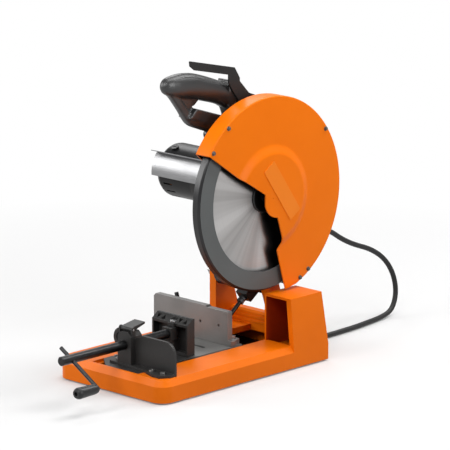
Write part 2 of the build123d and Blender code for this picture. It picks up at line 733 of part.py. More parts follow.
with BuildPart() as gear_case:
    with BuildSketch(at_x(case_x0)):
        add(two_circles(arbor, case_r, motor, motor_flange_r - 6))
        with Locations(motor):
            Circle(motor_flange_r)
    extrude(amount=case_x1 - case_x0)
    # round flange that the motor bolts to
    with BuildSketch(at_x(motor_x1)):
        with Locations(motor):
            Circle(motor_flange_r)
    extrude(amount=case_x0 - motor_x1)
    # arm from the case down to the hinge tube
    with BuildSketch(at_x(case_x0 - 28)):
        with BuildLine():
            Polyline((pivot_y - 20, pivot_z + 12), (arbor_y - 30, arbor_z - 40),
                     (arbor_y - 17, arbor_z - 8), (arbor_y + 56, arbor_z - 8),
                     (arbor_y + 62, arbor_z - 30), (pivot_y + 26, pivot_z), close=True)
        make_face()
    extrude(amount=arm_right - case_x0 + 28)
    with BuildSketch(at_x(hub_left)):
        with Locations(pivot):
            Circle(hub_r)
    extrude(amount=arm_right - hub_left)
    # web from the arm to the tube's left end
    with BuildSketch(Plane(origin=(0, pivot_y, 0), x_dir=(1, 0, 0), z_dir=(0, -1, 0))):
        with BuildLine():
            Polyline((hub_left + 4, pivot_z + 8), (case_x0 - 26, pivot_z + 8),
                     (case_x0 - 26, pivot_z + 120), close=True)
        make_face()
    extrude(amount=6, both=True)
    # lug below the tube for the depth stop
    with BuildSketch(at_x(-14)):
        with BuildLine():
            Polyline((pivot_y - 20, pivot_z + 4), (pivot_y - 46, pivot_z - 22),
                     (pivot_y - 32, pivot_z - 40), (pivot_y + 10, pivot_z - 10), close=True)
        make_face()
    extrude(amount=28)
    # pad for the handle
    with BuildSketch(at_x(-17)):
        with BuildLine():
            Polyline((motor_y - 14, motor_z + 30), (motor_y - 14, 431), (arbor_y + 11, 419),
                     (arbor_y + 11, arbor_z + 30), close=True)
        make_face()
    extrude(amount=34)
    # boss for the cord's strain relief
    with BuildSketch(Plane(origin=relief_at - relief_line * relief_boss, z_dir=relief_line)):
        Circle(12)
    extrude(amount=relief_boss)
    # room for the gears, open towards the cover
    with BuildSketch(at_x(case_x0 + case_wall + 1)):
        add(two_circles(arbor, gear_room_r, motor, pinion_room_r))
    extrude(amount=case_x1 - case_x0, mode=Mode.SUBTRACT)
    with BuildSketch(at_x(hub_left - 1)):
        with Locations(pivot):
            Circle(pivot_r + running)
    extrude(amount=arm_right - hub_left + 2, mode=Mode.SUBTRACT)
    # hole for the depth stop's rod
    with BuildSketch(Plane(origin=stop_start, z_dir=stop_line)):
        Circle(stop_r + running)
    extrude(amount=30, mode=Mode.SUBTRACT)
    # seats of the two inner bearings
    with BuildSketch(at_x(case_x0 + case_wall + 1 - bearing_wide + 4)):
        with Locations(arbor):
            Circle(bearing_r)
    extrude(amount=bearing_wide - 4, mode=Mode.SUBTRACT)
    with BuildSketch(at_x(motor_x1 - 1)):
        with Locations(motor):
            Circle(bearing_r)
    extrude(amount=case_x0 - motor_x1 + case_wall + 3, mode=Mode.SUBTRACT)
    for place in case_screws_at:
        with BuildSketch(at_x(case_x1 - 11)):
            with Locations(place):
                Circle(1.75)
        extrude(amount=12, mode=Mode.SUBTRACT)
    # bore for the blade lock's pin
    with BuildSketch(at_x(case_x0 - 1)):
        with Locations(lock_pin_at):
            Circle(lock_pin_r + running)
    extrude(amount=case_wall + 3, mode=Mode.SUBTRACT)
save(gear_case.part, "gear_case")

with BuildPart() as gear_cover:
    with BuildSketch(at_x(case_x1)):
        add(two_circles(arbor, case_r, motor, motor_flange_r - 6))
    extrude(amount=cover_x1 - case_x1)
    with BuildSketch(at_x(cover_x1)):
        with Locations(arbor):
            Circle(boss_r)
    extrude(amount=lower_x1 - lower_x0 - 8)
    with BuildSketch(at_x(case_x1 - 1)):
        with Locations(arbor):
            Circle(arbor_r + 0.8)
    extrude(amount=40, mode=Mode.SUBTRACT)
    with BuildSketch(at_x(case_x1)):
        with Locations(arbor):
            Circle(bearing_r)
    extrude(amount=bearing_wide - 5, mode=Mode.SUBTRACT)
    for place in case_screws_at:
        with BuildSketch(at_x(case_x1 - 1)):
            with Locations(place):
                Circle(1.8)
        extrude(amount=6, mode=Mode.SUBTRACT)
        with BuildSketch(at_x(case_x1 + 4)):
            with Locations(place):
                Circle(2.5)
        extrude(amount=5, mode=Mode.SUBTRACT)
save(gear_cover.part, "gear_cover")

with BuildPart() as case_screws:
    for place in case_screws_at:
        with BuildSketch(at_x(case_x1 - 10)):
            with Locations(place):
                Circle(1.7)
        extrude(amount=14)
        with BuildSketch(at_x(case_x1 + 4)):
            with Locations(place):
                Circle(2.4)
        extrude(amount=3.4)
    with BuildSketch(at_x(motor_cap_x - 2.4)):
        with Locations(motor):
            with PolarLocations(cap_flat_r - 6, 4, start_angle=45):
                Circle(3.6)
    extrude(amount=2.4)
save(case_screws.part, "case_screws")


def gear_outline(centre, teeth, tip_r, phase):
    """Straight-sided teeth, thinner than their gaps so that the pair runs free."""
    root_r = tip_r - 1.85 * module
    pitch = 360 / teeth
    with BuildSketch(mode=Mode.PRIVATE) as outline:
        with BuildLine():
            corners = []
            for tooth in range(teeth):
                middle = phase + tooth * pitch
                corners += [ring_points(centre, root_r, middle - 0.33 * pitch),
                            ring_points(centre, tip_r, middle - 0.09 * pitch),
                            ring_points(centre, tip_r, middle + 0.09 * pitch),
                            ring_points(centre, root_r, middle + 0.33 * pitch)]
            Polyline(*corners, close=True)
        make_face()
    return outline.sketch


# the line of centres sets both phases: a tooth of the gear points into a gap of the pinion
mesh_line = degrees(atan2(motor_z - arbor_z, motor_y - arbor_y))
with BuildPart() as drive_gear:
    with BuildSketch(at_x(gear_x0)):
        add(gear_outline(arbor, gear_teeth, gear_tip_r, mesh_line))
        with Locations(arbor):
            Circle(arbor_r + seat, mode=Mode.SUBTRACT)
            with PolarLocations(38, 6):
                Circle(9, mode=Mode.SUBTRACT)
    extrude(amount=gear_x1 - gear_x0)
save(drive_gear.part, "drive_gear")

# ---------------------------------------------------------------- arbor and blade
flange_r, flange_wide = 32.0, 5.0
blade_x0 = blade_x - blade_thick / 2
blade_x1 = blade_x + blade_thick / 2
shaft_x0 = case_x0 + 1 + gap
with BuildPart() as arbor_shaft:
    with BuildSketch(at_x(shaft_x0)):
        with Locations(arbor):
            Circle(8)
    extrude(amount=gear_x0 - 2 - shaft_x0)
    with BuildSketch(at_x(gear_x0 - 2)):
        with Locations(arbor):
            Circle(arbor_r)
    extrude(amount=blade_x0 - flange_wide - gear_x0 + 2)
    with BuildSketch(at_x(blade_x0 - flange_wide)):
        with Locations(arbor):
            Circle(bore_r - seat)
            Circle(4.2, mode=Mode.SUBTRACT)
    extrude(amount=flange_wide + blade_thick + 1.5)
save(arbor_shaft.part, "arbor_shaft")


def bearing(x0, wide, centre, outer, inner):
    """Closed ball bearing, with the groove of its shield on the left face."""
    with BuildPart(mode=Mode.PRIVATE) as race:
        with BuildSketch(at_x(x0)):
            with Locations(centre):
                Circle(outer)
                Circle(inner, mode=Mode.SUBTRACT)
        extrude(amount=wide)
        with BuildSketch(at_x(x0)):
            with Locations(centre):
                Circle(0.72 * outer + 0.28 * inner)
                Circle(0.28 * outer + 0.72 * inner, mode=Mode.SUBTRACT)
        extrude(amount=0.6, mode=Mode.SUBTRACT)
    return race.part


with BuildPart() as ball_bearings:
    add(bearing(case_x0 + 1 + seat, 5 - seat, arbor, bearing_r - seat, 8 + running))
    add(bearing(case_x1 - 5, bearing_wide - seat, arbor, bearing_r - seat, arbor_r + running))
    add(bearing(case_x0 + seat, 5, motor, bearing_r - seat, rotor_shaft_r + running))
    add(bearing(motor_x0 - 6, 5.6, motor, bearing_r - seat, rotor_shaft_r + running))
save(ball_bearings.part, "ball_bearings")

with BuildPart() as inner_flange:
    with BuildSketch(at_x(blade_x0 - flange_wide)):
        with Locations(arbor):
            Circle(flange_r)
            Circle(bore_r, mode=Mode.SUBTRACT)
    extrude(amount=flange_wide)
    chamfer(inner_flange.faces().sort_by(Axis.X)[0].edges().sort_by(SortBy.LENGTH)[-1], 1.2)
save(inner_flange.part, "inner_flange")

with BuildPart() as outer_flange:
    with BuildSketch(at_x(blade_x1)):
        with Locations(arbor):
            Circle(flange_r)
            Circle(4.2, mode=Mode.SUBTRACT)
    extrude(amount=flange_wide)
    with BuildSketch(at_x(blade_x1)):
        with Locations(arbor):
            Circle(bore_r + seat)
    extrude(amount=2, mode=Mode.SUBTRACT)
    chamfer(outer_flange.faces().sort_by(Axis.X)[-1].edges().sort_by(SortBy.LENGTH)[-1], 1.5)
save(outer_flange.part, "outer_flange")

bolt_head_x = blade_x1 + flange_wide
with BuildPart() as arbor_bolt:
    with BuildSketch(at_x(blade_x0 - flange_wide)):
        with Locations(arbor):
            Circle(4.0)
    extrude(amount=bolt_head_x - blade_x0 + flange_wide)
    with BuildSketch(at_x(bolt_head_x)):
        with Locations(arbor):
            Circle(10)
    extrude(amount=1.6)
    with BuildSketch(at_x(bolt_head_x + 1.6)):
        with Locations(arbor):
            RegularPolygon(7.5, 6)
    extrude(amount=5.4)
save(arbor_bolt.part, "arbor_bolt")

# toothed blade: each tooth is a raked triangle with its gullet, and four slots let the rim grow
with BuildPart() as saw_blade:
    with BuildSketch(at_x(blade_x0)):
        with BuildLine():
            pitch = 360 / blade_teeth
            corners = []
            for tooth in range(blade_teeth):
                start = tooth * pitch
                corners += [ring_points(arbor, blade_r, start),
                            ring_points(arbor, blade_r - 0.4, start + 0.24 * pitch),
                            ring_points(arbor, blade_r - tooth_depth * 0.7, start + 0.62 * pitch),
                            ring_points(arbor, blade_r - tooth_depth, start + 0.86 * pitch),
                            ring_points(arbor, blade_r - tooth_depth * 0.75, start + 0.99 * pitch)]
            Polyline(*corners, close=True)
        make_face()
        with Locations(arbor):
            Circle(bore_r, mode=Mode.SUBTRACT)
            with PolarLocations(blade_r - 17, 4, start_angle=22):
                Rectangle(22, 1.2, mode=Mode.SUBTRACT)
            with PolarLocations(blade_r - 28, 4, start_angle=22):
                Circle(3, mode=Mode.SUBTRACT)
    extrude(amount=blade_thick)
save(saw_blade.part, "saw_blade")

# ---------------------------------------------------------------- lower guard


def sector(outer, inner):
    """Part of a ring round the arbor, over the angles that the lower guard covers."""
    with BuildSketch(mode=Mode.PRIVATE) as wedge:
        with Locations(arbor):
            Circle(outer)
            Circle(inner, mode=Mode.SUBTRACT)
        middle = (lower_start + lower_end) / 2
        with BuildLine():
            Polyline(arbor, ring_points(arbor, 2.4 * outer, lower_start),
                     ring_points(arbor, 2.4 * outer, (lower_start + middle) / 2),
                     ring_points(arbor, 2.4 * outer, middle),
                     ring_points(arbor, 2.4 * outer, (lower_end + middle) / 2),
                     ring_points(arbor, 2.4 * outer, lower_end), close=True)
        make_face(mode=Mode.INTERSECT)
    return wedge.sketch


with BuildPart() as lower_guard:
    with BuildSketch(at_x(lower_x0)):
        add(sector(lower_r, boss_r + 8))
        with Locations(arbor):
            Circle(boss_r + 10)
            Circle(boss_r + running, mode=Mode.SUBTRACT)
    extrude(amount=2)
    with BuildSketch(at_x(lower_x0)):
        add(sector(lower_r, lower_r - sheet))
    extrude(amount=lower_x1 - lower_x0)
    with BuildSketch(at_x(lower_x1 - 2.2)):
        add(sector(lower_r, lower_bore))
    extrude(amount=2.2)
save(lower_guard.part, "lower_guard")

# ---------------------------------------------------------------- upper guard and cover
bump_centre, bump_r = (143.5, 330.0), 37.0
bump_in = (bump_centre[0] - bump_r * cos(radians(14)), bump_centre[1] - bump_r * sin(radians(14)))
bump_out = (bump_centre[0] - bump_r * cos(radians(88)), bump_centre[1] - bump_r * sin(radians(88)))
bump_mid = (bump_centre[0] - bump_r * cos(radians(51)), bump_centre[1] - bump_r * sin(radians(51)))
front_cut = (-41.0, 442.0)
tail_tip, tail_rear = (173.0, 143.0), (213.0, 150.5)


def guard_outline(radius, far):
    """The guard's side: a disc cut along the line where the blade comes out."""
    with BuildSketch(mode=Mode.PRIVATE) as outline:
        with Locations(arbor):
            Circle(radius)
        with BuildLine():
            if far:
                Polyline(front_cut, (60, 352), (arbor_y - 30, arbor_z - 42), (arbor_y + 20, arbor_z - 52),
                         (158, 225), tail_tip)
            else:
                Polyline(front_cut, (45.5, 382), (107.5, 343.5), bump_in)
                ThreePointArc(bump_in, bump_mid, bump_out)
                Polyline(bump_out, (159.5, 239), (149, 225), (167.6, 158.6), tail_tip)
            Polyline(tail_tip, tail_rear, (tail_rear[0] + 20, 100), (-120, 100), (-120, 470), front_cut)
        make_face(mode=Mode.SUBTRACT)
    return outline.sketch


back_x = guard_face_x - guard_depth
guard_screw_r = guard_r - sheet - 3.6
guard_screws_at = [ring_points(arbor, guard_screw_r, angle) for angle in (127, 144.5, 36, -56, -64)]
with BuildPart() as upper_guard:
    with BuildSketch(at_x(back_x)):
        add(guard_outline(guard_r, True))
        with Locations(arbor):
            Circle(boss_r + seat, mode=Mode.SUBTRACT)
    extrude(amount=sheet)
    with BuildSketch(at_x(back_x)):
        add(guard_outline(guard_r, True))
        with Locations(arbor):
            Circle(guard_r - sheet, mode=Mode.SUBTRACT)
    extrude(amount=guard_depth - sheet)
    for place in guard_screws_at:
        with BuildSketch(at_x(guard_face_x - sheet - 12)):
            with Locations(place):
                Circle(3.8)
        extrude(amount=12)
    for place in guard_screws_at:
        with BuildSketch(at_x(guard_face_x - sheet - 9)):
            with Locations(place):
                Circle(1.9)
        extrude(amount=9, mode=Mode.SUBTRACT)
save(upper_guard.part, "upper_guard")

plate_centre = (153.0, 345.0)
plate_turn = -55.0
with BuildPart() as guard_cover:
    with BuildSketch(at_x(guard_face_x - sheet)):
        add(guard_outline(guard_r, False))
    extrude(amount=sheet)
    # dished boss over the arbor, hollow behind
    with BuildSketch(at_x(guard_face_x)):
        with Locations(arbor):
            Circle(blister_r)
        add(guard_outline(guard_r, False), mode=Mode.INTERSECT)
    with BuildSketch(at_x(guard_face_x + blister_rise)):
        with Locations(arbor):
            Circle(blister_r - 12)
        add(guard_outline(guard_r, False), mode=Mode.INTERSECT)
    loft()
    with BuildSketch(at_x(guard_face_x - sheet - 1)):
        with Locations(arbor):
            Circle(blister_r - 14)
    extrude(amount=blister_rise + 1, mode=Mode.SUBTRACT)
    for place in guard_screws_at:
        with BuildSketch(at_x(guard_face_x - sheet - 1)):
            with Locations(place):
                Circle(2.1)
        extrude(amount=sheet + 2, mode=Mode.SUBTRACT)
save(guard_cover.part, "guard_cover")

with BuildPart() as cover_screws:
    for place in guard_screws_at:
        with BuildSketch(at_x(guard_face_x - sheet - 8)):
            with Locations(place):
                Circle(1.75)
        extrude(amount=sheet + 8)
        with BuildSketch(at_x(guard_face_x)):
            with Locations(place):
                Circle(4.6)
        extrude(amount=0.9)
        with BuildSketch(at_x(guard_face_x + 0.9)):
            with Locations(place):
                RegularPolygon(3.6, 6)
        extrude(amount=2.4)
save(cover_screws.part, "cover_screws")

with BuildPart() as name_plate:
    with BuildSketch(at_x(guard_face_x + blister_rise)):
        with Locations(Location(plate_centre, plate_turn)):
            RectangleRounded(plate_length, plate_width, 3)
    extrude(amount=plate_thick)
save(name_plate.part, "name_plate")

# ---------------------------------------------------------------- motor
rotor_r, rotor_x0, rotor_x1 = 26.0, -80.0, -42.0
commutator_r, commutator_x0, commutator_wide = 15.0, rotor_x0 - 13.0, 10.0
brush_x = commutator_x0 + commutator_wide / 2
brush_angles = (115, 295)
vent_angles = (200, 220, 240, 60, 80)


def radial(x, angle, radius=0.0):
    """Plane that looks outwards from the motor's axis; its local X runs along the motor."""
    return Plane(origin=(x, motor_y + radius * cos(radians(angle)), motor_z + radius * sin(radians(angle))),
                 x_dir=(1, 0, 0), z_dir=(0, cos(radians(angle)), sin(radians(angle))))


with BuildPart() as motor_housing:
    with BuildSketch(at_x(motor_x0)):
        with Locations(motor):
            Circle(motor_r)
            Circle(motor_r - motor_wall, mode=Mode.SUBTRACT)
    extrude(amount=motor_x1 - motor_x0)
    with BuildSketch(at_x(motor_x1 - 3)):
        with Locations(motor):
            Circle(motor_r - 1)
            Circle(bearing_r + 2, mode=Mode.SUBTRACT)
    extrude(amount=3)
    for angle in vent_angles:
        with BuildSketch(radial(motor_x0 + 18, angle)):
            SlotOverall(24, 3.6)
        extrude(amount=motor_r + 4, mode=Mode.SUBTRACT)
save(motor_housing.part, "motor_housing")

with BuildPart() as motor_end_cap:
    with BuildSketch(Plane(origin=(0, *motor), x_dir=(1, 0, 0), z_dir=(0, -1, 0))):
        with BuildLine():
            Polyline((motor_x0, 0), (motor_x0, motor_r), (motor_x0 - 5, motor_r - 1), (motor_x0 - 11, motor_r - 4.5),
                     (motor_x0 - 16, motor_r - 10), (motor_cap_x, cap_flat_r), (motor_cap_x, 0), close=True)
        make_face()
    revolve(axis=Axis((0, *motor), (1, 0, 0)))
    with BuildSketch(at_x(motor_x0)):
        with Locations(motor):
            Circle(motor_r - motor_wall - 1)
            Circle(bearing_r + 4, mode=Mode.SUBTRACT)
            Circle(bearing_r)
    extrude(amount=-6, mode=Mode.SUBTRACT)
    with BuildSketch(at_x(motor_x0)):
        with Locations(motor):
            Circle(10)
    extrude(amount=-9, mode=Mode.SUBTRACT)
save(motor_end_cap.part, "motor_end_cap")

with BuildPart() as brush_caps:
    for angle in brush_angles:
        with BuildSketch(radial(brush_x, angle, motor_r)):
            Circle(7.5)
        extrude(amount=3.4)
        with BuildSketch(radial(brush_x, angle, motor_r + 3.4)):
            Rectangle(11, 1.8)
        extrude(amount=-1.4, mode=Mode.SUBTRACT)
save(brush_caps.part, "brush_caps")

with BuildPart() as carbon_brushes:
    for angle in brush_angles:
        with BuildSketch(radial(brush_x, angle, commutator_r + gap)):
            Rectangle(8, 6)
        extrude(amount=motor_r - motor_wall - commutator_r - 2 * gap)
save(carbon_brushes.part, "carbon_brushes")

with BuildPart() as armature:
    with BuildSketch(at_x(motor_x0 - 8)):
        with Locations(motor):
            Circle(rotor_shaft_r)
    extrude(amount=case_x1 - 2 - motor_x0 + 8)
    with BuildSketch(at_x(rotor_x0)):
        with Locations(motor):
            Circle(rotor_r)
            with PolarLocations(rotor_r, 12):
                Rectangle(7, 2.4, mode=Mode.SUBTRACT)
    extrude(amount=rotor_x1 - rotor_x0)
    with BuildSketch(at_x(commutator_x0)):
        with Locations(motor):
            Circle(commutator_r)
    extrude(amount=commutator_wide)
    with BuildSketch(at_x(gear_x0 - 2)):
        add(gear_outline(motor, pinion_teeth, pinion_tip_r, mesh_line + 180 + 180 / pinion_teeth))
    extrude(amount=gear_x1 - gear_x0 + 4)
save(armature.part, "armature")

fan_r = 38.0
with BuildPart() as cooling_fan:
    with BuildSketch(at_x(rotor_x1 + 3)):
        with Locations(motor):
            Circle(fan_r)
            Circle(rotor_shaft_r, mode=Mode.SUBTRACT)
    extrude(amount=3)
    with BuildSketch(at_x(rotor_x1 + 5.5)):
        with Locations(motor):
            with PolarLocations(fan_r - 11, 10):
                Rectangle(20, 2)
    extrude(amount=8)
save(cooling_fan.part, "cooling_fan")

with BuildPart() as field_coils:
    with BuildSketch(at_x(rotor_x0)):
        with Locations(motor):
            Circle(motor_r - motor_wall)
            Circle(rotor_r + 1, mode=Mode.SUBTRACT)
            Rectangle(2.2 * motor_r, 16, mode=Mode.SUBTRACT)
    extrude(amount=rotor_x1 - rotor_x0)
save(field_coils.part, "field_coils")

# bright sheet shield wrapped over the front of the motor, with a lip bent out at its top
shield_r = motor_r + 4.0
shield_thick = 1.5
shield_x0, shield_x1 = -118.0, 36.0
shield_top, shield_end = 136, 184
with BuildPart() as chip_shield:
    with BuildSketch(at_x(shield_x0)):
        with Locations(motor):
            Circle(shield_r + shield_thick)
            Circle(shield_r, mode=Mode.SUBTRACT)
        with BuildLine():
            Polyline(motor, ring_points(motor, 2 * shield_r, shield_top),
                     ring_points(motor, 2 * shield_r, (shield_top + shield_end) / 2),
                     ring_points(motor, 2 * shield_r, shield_end), close=True)
        make_face(mode=Mode.INTERSECT)
        lip = ring_points(motor, shield_r + shield_thick / 2, shield_top)
        with BuildLine():
            Polyline((lip[0] + 0.5, lip[1] - 0.6), (lip[0] - 18, lip[1] + 4.4),
                     (lip[0] - 18, lip[1] + 4.4 + shield_thick), (lip[0] + 0.5, lip[1] + 0.9), close=True)
        make_face()
    extrude(amount=shield_x1 - shield_x0)
    # standoffs that carry it on the motor
    for x in (shield_x0 + 52, motor_x1 - 24):
        with BuildSketch(radial(x, (shield_top + shield_end) / 2, motor_r)):
            Rectangle(12, 9)
        extrude(amount=shield_r - motor_r + 0.5)
save(chip_shield.part, "chip_shield")

# ---------------------------------------------------------------- handle
handle_half = 18.0
handle_corner, handle_round = 12.0, 10.0
handle_base_front = (motor_y - 14, 431.0)
handle_base_rear = (arbor_y + 11, 419.0)
trigger_hinge = (56.0, 545.0)
trigger_half = 6.0
recess_deep = 8.0
button_at, button_r, button_travel = (30.0, 560.0), 5.0, 3.0
handle_screws_at = [(-62, 562), (78, 548), (118, 520), (62, 452), (118, 440), (10, 485)]
handle_screw_r = 3.6


def outline_of(points, corner=0.0):
    """Closed polygon with all of its corners rounded alike."""
    with BuildSketch(mode=Mode.PRIVATE) as shape:
        with BuildLine():
            Polyline(*points, close=True)
        make_face()
        if corner:
            fillet(shape.vertices(), corner)
    return shape.sketch


handle_shape = [handle_base_front, (30, 462), (-10, 480), (-33, 499), (-84, 560), (-88, 575), (-70, 588),
                (-28, 590), (30, 582), (101, 555), (128, 538), (140, 500), handle_base_rear]
finger_opening = [(-6, 519), (14, 529), (66, 517), (85, 491)]
front_recess = [(-62, 556), (-46, 551), (-22, 540), (-14, 527), (-12, 517), (-23, 506), (-33, 514), (-49, 538)]
trigger_room = [(46, 552), (62, 552), (66, 541), (48, 512), (-2, 518), (0, 538), (30, 545)]
with BuildPart() as handle_right:
    with BuildSketch(at_x(0)):
        add(outline_of(handle_shape, handle_corner))
        add(outline_of(finger_opening, 3), mode=Mode.SUBTRACT)
    extrude(amount=handle_half)
    sides = handle_right.faces().sort_by(Axis.X)[-1]
    rounded = [edge for edge in sides.outer_wire().edges() if edge.center().Z > 445]
    fillet(rounded, handle_round)
    with BuildSketch(at_x(handle_half - recess_deep)):
        add(outline_of(front_recess, 2.5))
    extrude(amount=recess_deep + 1, mode=Mode.SUBTRACT)
    with BuildSketch(at_x(-1)):
        add(outline_of(trigger_room))
    extrude(amount=trigger_half + 0.5 + 1, mode=Mode.SUBTRACT)
    with BuildSketch(at_x(-1)):
        with Locations(trigger_hinge):
            Circle(pin_r + seat)
    extrude(amount=trigger_half + 7, mode=Mode.SUBTRACT)
    # screw sockets that join the halves
    with BuildSketch(at_x(handle_half - 4)):
        with Locations(*handle_screws_at):
            Circle(handle_screw_r + seat)
    extrude(amount=6, mode=Mode.SUBTRACT)
save(handle_right.part, "handle_right")

with BuildPart() as handle_left:
    add(handle_right.part.mirror(Plane.YZ))
    # bore for the lock-off button
    with BuildSketch(at_x(-handle_half - 1)):
        with Locations(button_at):
            Circle(button_r + running)
    extrude(amount=10, mode=Mode.SUBTRACT)
save(handle_left.part, "handle_left")

with BuildPart() as handle_screws:
    for x in (handle_half - 4, -handle_half + 1):
        with BuildSketch(at_x(x)):
            with Locations(*handle_screws_at):
                Circle(handle_screw_r)
                Rectangle(4.4, 1.1, mode=Mode.SUBTRACT)
                Rectangle(1.1, 4.4, mode=Mode.SUBTRACT)
        extrude(amount=3)
save(handle_screws.part, "handle_screws")

with BuildPart() as trigger:
    with BuildSketch(at_x(-trigger_half)):
        add(outline_of([(52, 549), (60, 549), (61, 541), (47, 528), (40, 516), (8, 522), (4, 529), (30, 540)], 1.5))
        with Locations(trigger_hinge):
            Circle(pin_r + running, mode=Mode.SUBTRACT)
    extrude(amount=2 * trigger_half)
save(trigger.part, "trigger")

with BuildPart() as lock_off_button:
    with BuildSketch(at_x(-handle_half - button_travel - 1)):
        with Locations(button_at):
            Circle(button_r)
    extrude(amount=button_travel + 6)
    fillet(lock_off_button.faces().sort_by(Axis.X)[0].edges(), 1.2)
save(lock_off_button.part, "lock_off_button")

# button that holds the blade still while its bolt is turned
lock_travel = 4.0
with BuildPart() as spindle_lock_button:
    with BuildSketch(at_x(case_x0 - lock_travel - 8)):
        with Locations(lock_pin_at):
            Circle(8)
    extrude(amount=7)
    fillet(spindle_lock_button.faces().sort_by(Axis.X)[0].edges(), 1.5)
    with BuildSketch(at_x(case_x0 - lock_travel - 1)):
        with Locations(lock_pin_at):
            Circle(lock_pin_r)
    extrude(amount=lock_travel + case_wall + 4)
save(spindle_lock_button.part, "spindle_lock_button")

# ---------------------------------------------------------------- guard lever over the handle
lever_hinge = (158.0, 513.0)
lever_pin_r = 3.0
lever_thick = 4.0
cheek_x0, cheek_x1 = 5.3, 12.0
with BuildPart() as lever_bracket:
    for x0, x1 in ((-cheek_x1, -cheek_x0), (cheek_x0, cheek_x1)):
        with BuildSketch(at_x(x0)):
            with BuildLine():
                Polyline((handle_base_rear[0], 452), (handle_base_rear[0], 498), (lever_hinge[0] - 6, lever_hinge[1] + 5.5),
                         (lever_hinge[0] + 6, lever_hinge[1] + 5.5), (lever_hinge[0] + 6, lever_hinge[1] - 8),
                         (handle_base_rear[0] + 9, 452), close=True)
            make_face()
            with Locations(lever_hinge):
                Circle(lever_pin_r, mode=Mode.SUBTRACT)
        extrude(amount=x1 - x0)
    with BuildSketch(at_x(-cheek_x0)):
        with BuildLine():
            Polyline((handle_base_rear[0], 452), (handle_base_rear[0], 490), (handle_base_rear[0] + 5, 490),
                     (handle_base_rear[0] + 6, 452), close=True)
        make_face()
    extrude(amount=2 * cheek_x0)
save(lever_bracket.part, "lever_bracket")

lever_hub_r, lever_x1 = 7.0, cheek_x1 + gap + 6.3 + lever_thick
with BuildPart() as hinge_pins:
    with BuildSketch(at_x(-trigger_half - 6)):
        with Locations(trigger_hinge):
            Circle(pin_r)
    extrude(amount=2 * (trigger_half + 6))
    with BuildSketch(at_x(-cheek_x1 - 2)):
        with Locations(lever_hinge):
            Circle(lever_pin_r)
    extrude(amount=lever_x1 + 1.5 + cheek_x1 + 2)
save(hinge_pins.part, "hinge_pins")

# a plate on edge beside the grip, with a hub on the hinge pin
lever_shape = [(-31, 615.5), (91.5, 587), (105.5, 565), (105.5, 558.5), (131, 532), (166, 519), (162, 504),
               (140, 506), (103, 520), (84.5, 544), (75.5, 558.5), (76, 574.5), (-17.8, 596), (-29.5, 605)]
with BuildPart() as guard_lever:
    with BuildSketch(at_x(cheek_x1 + gap)):
        with Locations(lever_hinge):
            Circle(lever_hub_r)
    extrude(amount=lever_x1 - cheek_x1 - gap)
    with BuildSketch(at_x(lever_x1 - lever_thick)):
        add(outline_of(lever_shape, 1.5))
    extrude(amount=lever_thick)
    with BuildSketch(at_x(cheek_x1)):
        with Locations(lever_hinge):
            Circle(lever_pin_r + running)
    extrude(amount=lever_x1 - cheek_x1 + 1, mode=Mode.SUBTRACT)
save(guard_lever.part, "guard_lever")

# ---------------------------------------------------------------- depth stop
with BuildPart() as depth_stop:
    with BuildSketch(Plane(origin=stop_start, z_dir=stop_line)):
        Circle(stop_r)
    extrude(amount=stop_length)
    for distance in (8.7, 16):
        with BuildSketch(Plane(origin=stop_start + stop_line * distance, x_dir=(1, 0, 0), z_dir=stop_line)):
            RegularPolygon(7.5, 6)
        extrude(amount=6)
save(depth_stop.part, "depth_stop")

# ---------------------------------------------------------------- power cord
cord_r = 5.25
with BuildPart() as strain_relief:
    with BuildSketch(Plane(origin=relief_at, z_dir=relief_line)):
        Circle(10.5)
    with BuildSketch(Plane(origin=relief_at + relief_line * relief_length, z_dir=relief_line)):
        Circle(cord_r + 1.8)
    loft()
save(strain_relief.part, "strain_relief")

coil_centre = (-30.0, 312.0)
coil_turns, coil_layers = 2, 2
coil_inner = 47.0
coil_outer = coil_inner + coil_turns * 2 * cord_r
coil_line_r = coil_outer - cord_r - 0.4
floor_z = cord_r + 0.25
coil_stub = 40.0
cord_start = relief_at + relief_line * (relief_length + gap)
cord_points = [tuple(cord_start), (11, 279, 256.2), (6, 336, 230), (2, 388, 210), (0, 424, 187),
               (0, 461, 169), (0, 512, 151),
               (0, 555, 124), (1, 583, 86), (3, 590, 44), (8, 571, 12), (14, 530, floor_z),
               (22, 480, floor_z + 0.4), (29, 430, floor_z + 0.2),
               (coil_centre[0] + coil_line_r, coil_centre[1] + coil_stub + 0.4, floor_z)]


def turn_radii(points):
    """Bend radius at each inner corner, from its shorter run and its angle."""
    radii = []
    for before, corner, after in zip(points, points[1:], points[2:]):
        run_in = Vector(*corner) - Vector(*before)
        run_out = Vector(*after) - Vector(*corner)
        half_turn = radians(run_in.get_angle(run_out)) / 2
        radii.append(0.45 * min(run_in.length, run_out.length) / tan(half_turn))
    return radii


radii = turn_radii(cord_points)
print("cord radii", [round(radius) for radius in radii])
with BuildPart() as power_cord:
    with BuildLine() as route:
        FilletPolyline(*cord_points, radius=radii)
    with BuildSketch(Plane(origin=cord_points[0], z_dir=route.line % 0)):
        Circle(cord_r)
    sweep()
save(power_cord.part, "power_cord")
route_length = sum(edge.length for edge in route.edges())
print("cord length", route_length, power_cord.part.volume / (pi * cord_r ** 2))

